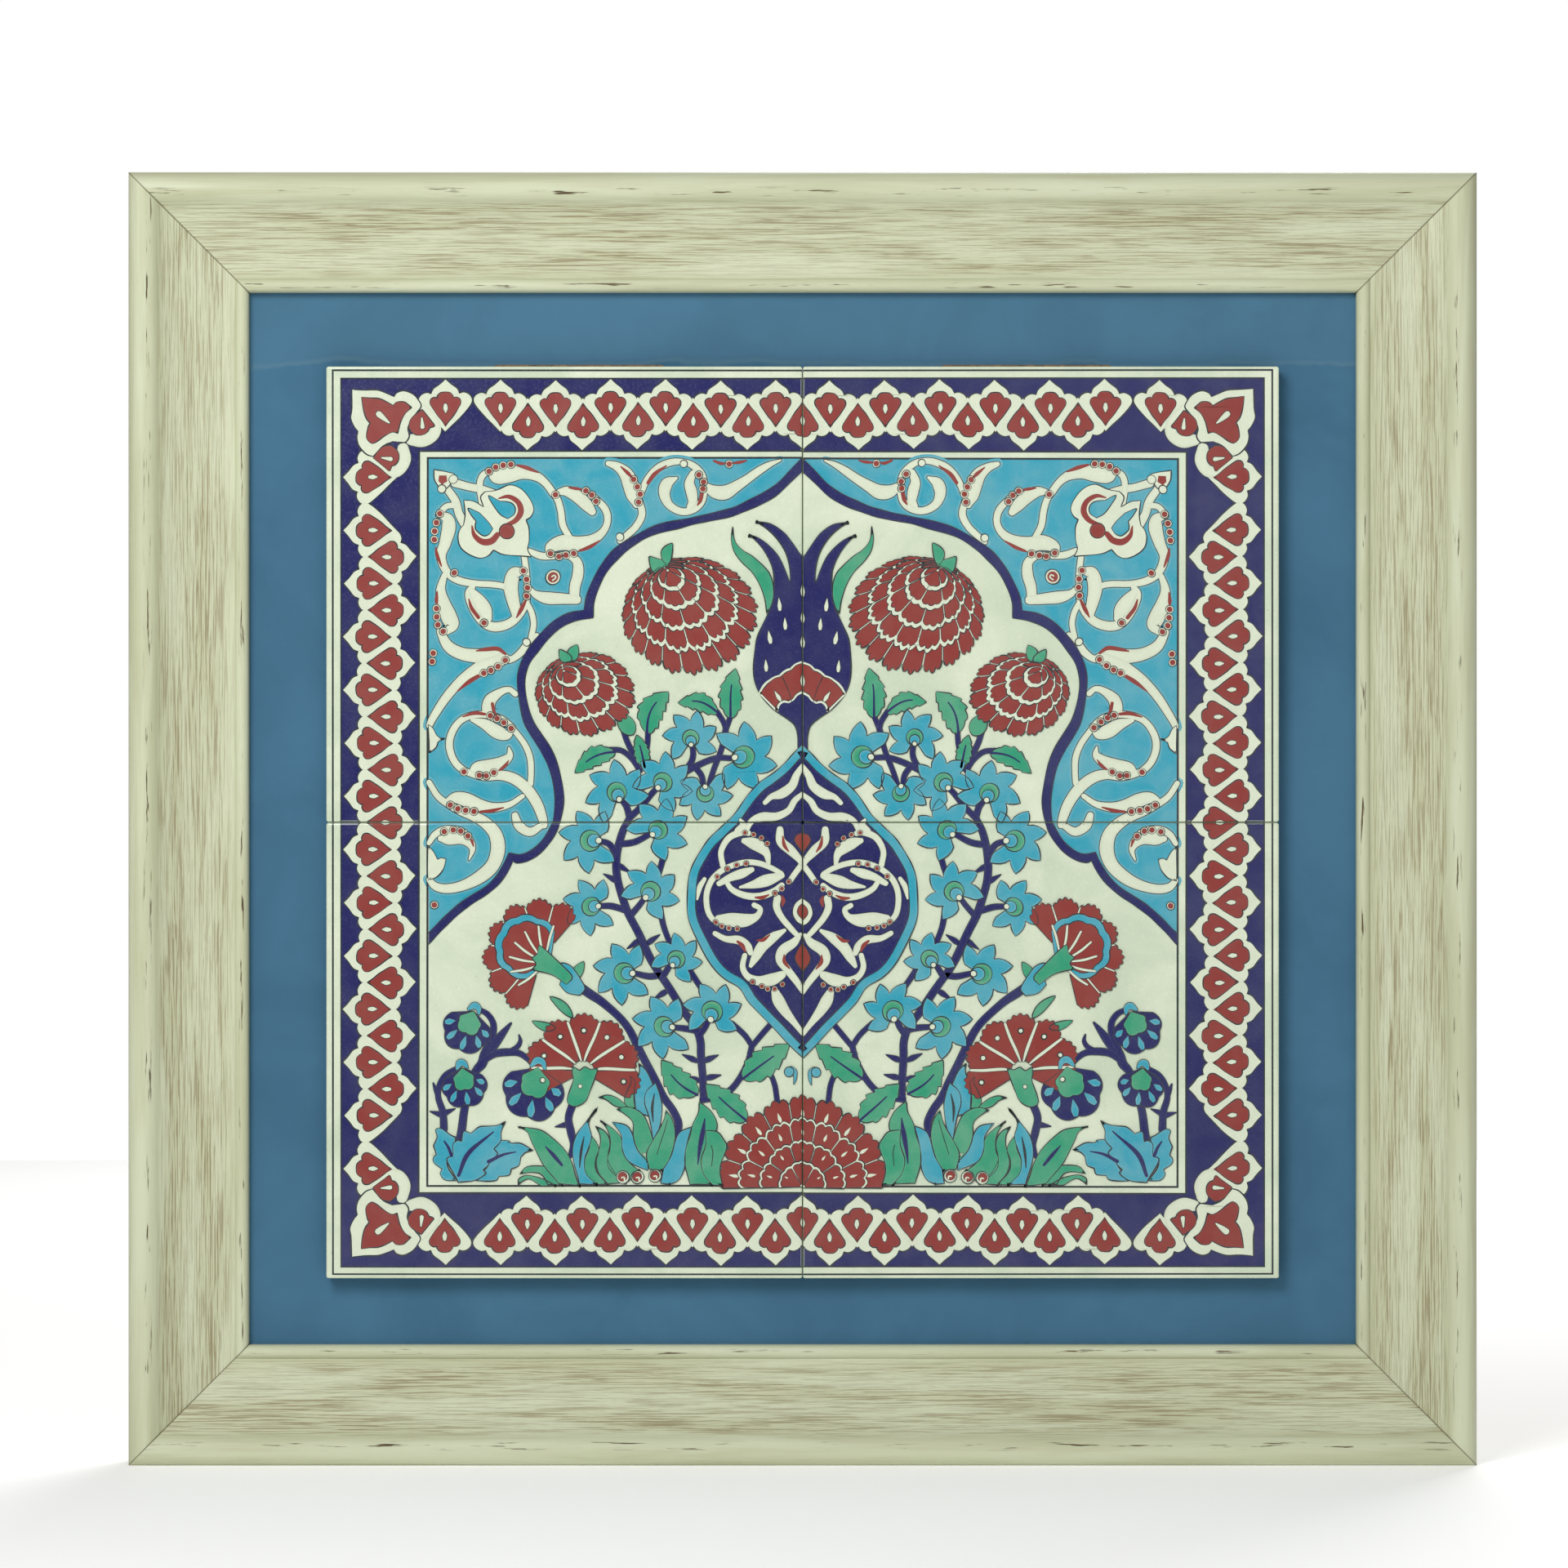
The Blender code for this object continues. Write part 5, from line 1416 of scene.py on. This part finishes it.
def card_paper(colour):
    """Blue card: short paper fibres, cloudy fading, and a tide mark where damp came in along its
    upper edge."""
    shader = Shader("blue_card", colour, 0.85, specular=0.25)
    here = shader.place()
    fibre = shader.noise(shader.place((900.0, 1.0, 2600.0)), 1.0, 3.0, 0.6, 1.2)
    cloud = shader.noise(here, 14.0, 4.0, 0.6, 0.6)
    darker = tuple(c * 0.93 for c in colour)
    lighter = tuple(min(c * 1.1 + 0.004, 1.0) for c in colour)
    base = shader.mix(cloud.over(0.3, 0.7), darker, lighter)
    base = shader.mix(fibre.over(0.45, 0.75) * 0.3, base, lighter)
    height = shader.node("ShaderNodeSeparateXYZ", None, {"Vector": here}, output=2)
    edge = height + cloud * 0.016
    top = CARD_TOP - TIDE_DROP
    tide = edge.over(top - 0.0016, top) * (1.0 - edge.over(top, top + 0.0022))
    base = shader.mix(tide * 0.16, base, srgb(120, 148, 150))
    base = shader.mix(edge.over(top, top + 0.003) * 0.07, base, srgb(110, 150, 165))
    shader.set("Base Color", base)
    shader.bump(fibre, 0.00006, 0.8)
    return shader


def fibreboard(colour):
    """Pressed brown board: matted fibres and darker flecks."""
    shader = Shader("fibreboard", colour, 0.8, specular=0.3)
    here = shader.place()
    mat = shader.noise(shader.place((260.0, 260.0, 900.0)), 1.0, 4.0, 0.7, 1.5)
    fleck = shader.noise(here, 520.0, 2.0, 0.5).over(0.62, 0.72)
    base = shader.mix(mat.over(0.3, 0.7), tuple(c * 0.7 for c in colour),
            tuple(min(c * 1.35, 1.0) for c in colour))
    shader.set("Base Color", shader.mix(fleck * 0.6, base, tuple(c * 0.35 for c in colour)))
    shader.set("Roughness", mat * 0.2 + 0.68)
    shader.bump(mat, 0.00012, 0.8)
    return shader


def dried_glue(colour):
    """Brown tile adhesive: lumps, dust and small pores."""
    shader = Shader("tile_adhesive", colour, 0.7)
    here = shader.place()
    lump = shader.noise(here, 230.0, 4.0, 0.6, 0.4)
    pore = shader.noise(here, 900.0, 2.0, 0.5).over(0.6, 0.7)
    base = shader.mix(lump.over(0.3, 0.7), tuple(c * 0.55 for c in colour),
            tuple(min(c * 1.6, 1.0) for c in colour))
    shader.set("Base Color", shader.mix(pore * 0.5, base, tuple(c * 0.25 for c in colour)))
    shader.set("Roughness", lump * 0.3 + 0.5)
    shader.bump(lump - pore * 0.4, 0.0005, 0.9)
    return shader


def worn_metal(name, colour, roughness, tarnish, brushed=(1.0, 1.0, 1.0), amount=0.5):
    """Plated steel: fine brushed lines, cloudy tarnish, and duller patches."""
    shader = Shader(name, colour, roughness, metallic=1.0)
    line = shader.noise(shader.place(brushed), 1.0, 3.0, 0.6)
    cloud = shader.noise(shader.place(), 160.0, 4.0, 0.6, 0.4)
    stain = cloud.over(0.48, 0.7) * amount
    base = shader.mix(line.over(0.3, 0.7), tuple(c * 0.82 for c in colour), colour)
    shader.set("Base Color", shader.mix(stain, base, tarnish))
    shader.set("Roughness", line * 0.16 + stain * 0.3 + roughness)
    shader.set("Metallic", 1.0 - stain * 0.5)
    shader.bump(line, 0.00003, 0.7)
    return shader


def wool_felt(colour):
    """Pressed felt: a fuzz of short fibres and small pills."""
    shader = Shader("felt_bumper", colour, 0.95, specular=0.2)
    here = shader.place()
    fuzz = shader.noise(here, 1500.0, 4.0, 0.7, 1.4)
    pill = shader.noise(here, 380.0, 2.0, 0.5).over(0.55, 0.72)
    base = shader.mix(fuzz.over(0.35, 0.7), tuple(c * 0.6 for c in colour),
            tuple(min(c * 2.2 + 0.01, 1.0) for c in colour))
    shader.set("Base Color", shader.mix(pill * 0.4, base, srgb(92, 90, 86)))
    shader.bump(fuzz + pill * 0.6, 0.0003, 0.9)
    return shader


# Sizes and colours that a user would change.


def colour_property(name, description, *values):
    return FloatVectorProperty(
        name=name, description=description, subtype="COLOR", size=3, min=0.0, max=1.0, default=srgb(*values)
    )


def share_property(name, description, default, high=2.0):
    return FloatProperty(name=name, description=description, subtype="FACTOR", min=0.0, max=high,
            default=default)


class FrameLook(bpy.types.PropertyGroup):
    paint: colour_property("Paint", "Pale milk paint on the rails", 197, 202, 173)
    shade: colour_property("Thin paint", "Where the paint lies thin", 172, 173, 134)
    grain: colour_property("Grain", "Streaks of the wood's grain", 122, 102, 66)
    wood: colour_property("Bare wood", "Rubbed places on the beads", 84, 70, 46)
    streaks: share_property("Streaks", "How strongly the grain shows", 1.0)
    wear: share_property("Wear", "How much paint is rubbed off the beads", 1.0)


class TileLook(bpy.types.PropertyGroup):
    white: colour_property("White", "Milky ground glaze", 205, 213, 190)
    cobalt: colour_property("Cobalt", "Dark blue of the border, the stems and the tulip", 20, 22, 86)
    turquoise: colour_property("Turquoise", "Light blue of the blossoms and the field above the arch", 36,
            149, 172)
    red: colour_property("Red", "Bole red of the petals", 130, 37, 30)
    green: colour_property("Green", "Leaf green", 36, 145, 108)
    ink: colour_property("Outline", "Greenish black of the outlines", 34, 42, 46)


class MountLook(bpy.types.PropertyGroup):
    card: colour_property("Card", "Blue card behind the tiles", 59, 101, 128)
    glue: colour_property("Adhesive", "Brown tile adhesive", 112, 84, 52)
    board: colour_property("Board", "Fibreboard back", 148, 118, 84)
    felt: colour_property("Felt", "Felt bumpers", 58, 57, 54)


class StageLook(bpy.types.PropertyGroup):
    distance: FloatProperty(
        name="Camera distance", description="From the rails' face to the camera", default=2.5, min=0.5,
        unit="LENGTH"
    )
    view: FloatProperty(
        name="View width", description="Width of the picture at the rails' face", default=0.672, min=0.1,
        unit="LENGTH"
    )
    key: FloatProperty(name="Key light", description="Power of the light in front, above and to the left",
            default=20.5, min=0.0, unit="POWER")
    fill: FloatProperty(name="Fill light", description="Power of the front light", default=6.5, min=0.0,
            unit="POWER")
    surroundings: share_property("Surroundings", "How bright the room is that the glaze mirrors", 0.26)
    floor: colour_property("Floor", "Pale studio floor", 250, 250, 249)


class TILES_OT_rails(bpy.types.Operator):
    """Makes the four mitred rails of limed wood"""

    bl_idname = "tiles.rails"
    bl_label = "Rails"

    def execute(self, context):
        wood = limed_wood(context.scene.tiles_frame)
        for side in SIDES:
            rail(side, wood)
        return {"FINISHED"}


class TILES_OT_mount(bpy.types.Operator):
    """Dresses the card, the adhesive, the back board and the corner wedges"""

    bl_idname = "tiles.mount"
    bl_label = "Card, adhesive and board"

    def execute(self, context):
        look = context.scene.tiles_mount
        dress("blue_card", card_paper(tuple(look.card)))
        dress("backing_board", fibreboard(tuple(look.board)))
        glue = dried_glue(tuple(look.glue))
        steel = worn_metal("wedge_steel", (0.42, 0.42, 0.43), 0.34, srgb(92, 70, 52), (1.0, 4000.0, 300.0))
        for corner in CORNERS:
            dress(f"adhesive_{corner}", glue)
            for end in ("outer", "inner"):
                dress(f"corner_wedge_{corner}_{end}", steel)
        return {"FINISHED"}


class TILES_OT_hardware(bpy.types.Operator):
    """Dresses the turn buttons, the hangers, their screws and the bumpers"""

    bl_idname = "tiles.hardware"
    bl_label = "Hardware"

    def execute(self, context):
        zinc = worn_metal("zinc_plate", (0.62, 0.63, 0.64), 0.3, srgb(150, 150, 142),
                (900.0, 900.0, 2600.0))
        steel = worn_metal("ring_steel", (0.55, 0.55, 0.56), 0.24, srgb(120, 112, 100),
                (2200.0, 700.0, 700.0), 0.35)
        brassy = worn_metal("screw_steel", (0.72, 0.64, 0.42), 0.26, srgb(112, 92, 52),
                (1800.0, 500.0, 1800.0), 0.6)
        felt = wool_felt(tuple(context.scene.tiles_mount.felt))
        for side in SIDES:
            dress(f"turn_button_{side}", zinc)
            dress(f"turn_button_screw_{side}", brassy)
        for side in ("left", "right"):
            dress(f"hanger_strap_{side}", zinc)
            dress(f"hanger_ring_{side}", steel)
            dress(f"bumper_{side}", felt)
            for place in ("upper", "lower"):
                dress(f"hanger_screw_{side}_{place}", brassy)
        return {"FINISHED"}


class TILES_OT_border(bpy.types.Operator):
    """Paints the cobalt border and its palmettes"""

    bl_idname = "tiles.border"
    bl_label = "Border"

    def execute(self, context):
        paint_border()
        return {"FINISHED"}


class TILES_OT_field(bpy.types.Operator):
    """Paints the arch, the scrolls above it, the flowers and the medallion"""

    bl_idname = "tiles.field"
    bl_label = "Field"

    def execute(self, context):
        paint_spandrels()
        paint_flowers()
        paint_tulip()
        paint_medallion()
        return {"FINISHED"}


class TILES_OT_fire(bpy.types.Operator):
    """Glazes the four tiles and fires the painted colours on them"""

    bl_idname = "tiles.fire"
    bl_label = "Glaze and fire"

    def execute(self, context):
        look = context.scene.tiles_paint
        if not paint.patches:
            raise RuntimeError("nothing has been painted yet")
        white = tuple(look.white)
        ground = tile_glaze(white)
        colours = {
            "white": glaze("paint_white", tuple(min(c * 1.05, 1) for c in white),
             tuple(c * 0.88 for c in white), 0.4),
            "cobalt": glaze("paint_cobalt", tuple(look.cobalt), lift(look.cobalt, 0.045), 0.6),
            "turquoise": glaze("paint_turquoise", tuple(look.turquoise), lift(look.turquoise, 0.24), 0.5),
            "red": glaze("paint_red", tuple(look.red), lift(look.red, 0.05), 0.55, 0.3),
            "green": glaze("paint_green", tuple(look.green), lift(look.green, 0.2), 0.6),
            "ink": glaze("paint_outline", tuple(look.ink), lift(look.ink, 0.05), 0.5),
        }
        for corner in CORNERS:
            dress(f"tile_{corner}", ground)
            for colour, shader in colours.items():
                fire(colour, corner, shader)
        return {"FINISHED"}


def lift(colour, share):
    """A colour let down with the white of the glaze under it."""
    return tuple(c + (w - c) * share for c, w in zip(colour, srgb(214, 222, 200)))


def light(name, place, size, power):
    """A soft round light that faces the middle of the frame."""
    data = bpy.data.lights.new(name, "AREA")
    data.shape, data.size, data.energy = "DISK", size, power
    made = bpy.data.objects.new(name, data)
    made.location = place
    made.rotation_euler = (-Vector(place)).to_track_quat("-Z", "Y").to_euler()
    bpy.context.scene.collection.objects.link(made)


FLOOR_GLOW = 0.2
FLOOR_REACH, FLOOR_POINTS = 2, 9
CAMERA_ASIDE, CAMERA_RISE = -0.008, 0.0149
SENSOR = 36.0


class TILES_OT_stage(bpy.types.Operator):
    """Sets the floor, the soft lights, the pale surroundings and the camera"""

    bl_idname = "tiles.stage"
    bl_label = "Stage"

    def execute(self, context):
        look, scene = context.scene.tiles_stage, context.scene
        low = CAD_BOX[0]
        steps = np.linspace(-FLOOR_REACH, FLOOR_REACH, FLOOR_POINTS)
        x, y = np.meshgrid(steps, steps, indexing="ij")
        points = np.stack([x, y, np.full_like(x, low[2])], axis=-1).reshape(-1, 3)
        shader = Shader("studio_floor", tuple(look.floor), 0.8, specular=0.2)
        tint = shader.noise(shader.place(), 3.0, 2.0, 0.5)
        shader.set("Base Color", shader.mix(tint, tuple(look.floor), tuple(c * 0.985 for c in look.floor)))
        shader.set("Emission Color", (1.0, 1.0, 1.0, 1.0))
        shader.set("Emission Strength", FLOOR_GLOW)
        mesh = bpy.data.meshes.new("studio_floor")
        mesh.from_pydata(points.tolist(), [], grid_faces(FLOOR_POINTS, FLOOR_POINTS)[:, ::-1].tolist())
        mesh.materials.append(shader.material)
        floor = bpy.data.objects.new("studio_floor", mesh)
        scene.collection.objects.link(floor)
        light("key_light", (-0.55, -1.5, 0.85), 0.8, look.key)
        light("fill_light", (0.9, -2.4, 0.5), 1.8, look.fill)
        light("rear_light", (0.6, 2.0, 1.4), 1.6, look.key * 2.0)
        world = bpy.data.worlds.new("studio")
        scene.world = world
        world.use_nodes = True
        nodes, links = world.node_tree.nodes, world.node_tree.links
        nodes["Background"].inputs["Color"].default_value = (1.0, 1.0, 1.0, 1.0)
        path, strength = nodes.new("ShaderNodeLightPath"), nodes.new("ShaderNodeMapRange")
        strength.inputs["To Min"].default_value = look.surroundings
        strength.inputs["To Max"].default_value = 1.0
        links.new(path.outputs["Is Camera Ray"], strength.inputs["Value"])
        links.new(strength.outputs["Result"], nodes["Background"].inputs["Strength"])
        scene.view_settings.view_transform = "Standard"
        camera = bpy.data.cameras.new("camera")
        camera.sensor_width = SENSOR
        camera.lens = SENSOR * look.distance / look.view
        made = bpy.data.objects.new("camera", camera)
        made.location = (CAMERA_ASIDE, RAIL_LOW.y - look.distance, FRAME_MIDDLE + CAMERA_RISE)
        made.rotation_euler = (math.radians(90), 0, 0)
        scene.collection.objects.link(made)
        scene.camera = made
        return {"FINISHED"}


class TILES_PT_panel(bpy.types.Panel):
    """Sizes, colours and steps of the framed panel"""

    bl_idname = "TILES_PT_panel"
    bl_label = "Framed painted tiles"
    bl_space_type = "VIEW_3D"
    bl_region_type = "UI"
    bl_category = "Tiles"

    def draw(self, context):
        for group in GROUPS:
            box = self.layout.box()
            look = getattr(context.scene, group)
            for name in GROUPS[group].__annotations__:
                box.prop(look, name)
        for operator in OPERATORS:
            self.layout.operator(operator.bl_idname)


GROUPS = {"tiles_frame": FrameLook, "tiles_paint": TileLook, "tiles_mount": MountLook,
        "tiles_stage": StageLook}
OPERATORS = (
    TILES_OT_rails, TILES_OT_mount, TILES_OT_hardware, TILES_OT_border, TILES_OT_field, TILES_OT_fire,
    TILES_OT_stage
)


def register():
    for kind in (*GROUPS.values(), *OPERATORS, TILES_PT_panel):
        bpy.utils.register_class(kind)
    for name, group in GROUPS.items():
        setattr(bpy.types.Scene, name, PointerProperty(type=group))


def unregister():
    for name in GROUPS:
        delattr(bpy.types.Scene, name)
    for kind in reversed((*GROUPS.values(), *OPERATORS, TILES_PT_panel)):
        bpy.utils.unregister_class(kind)


def main():
    register()
    for operator in OPERATORS:
        group, name = operator.bl_idname.split(".")
        getattr(getattr(bpy.ops, group), name)()


if __name__ == "__main__":
    main()
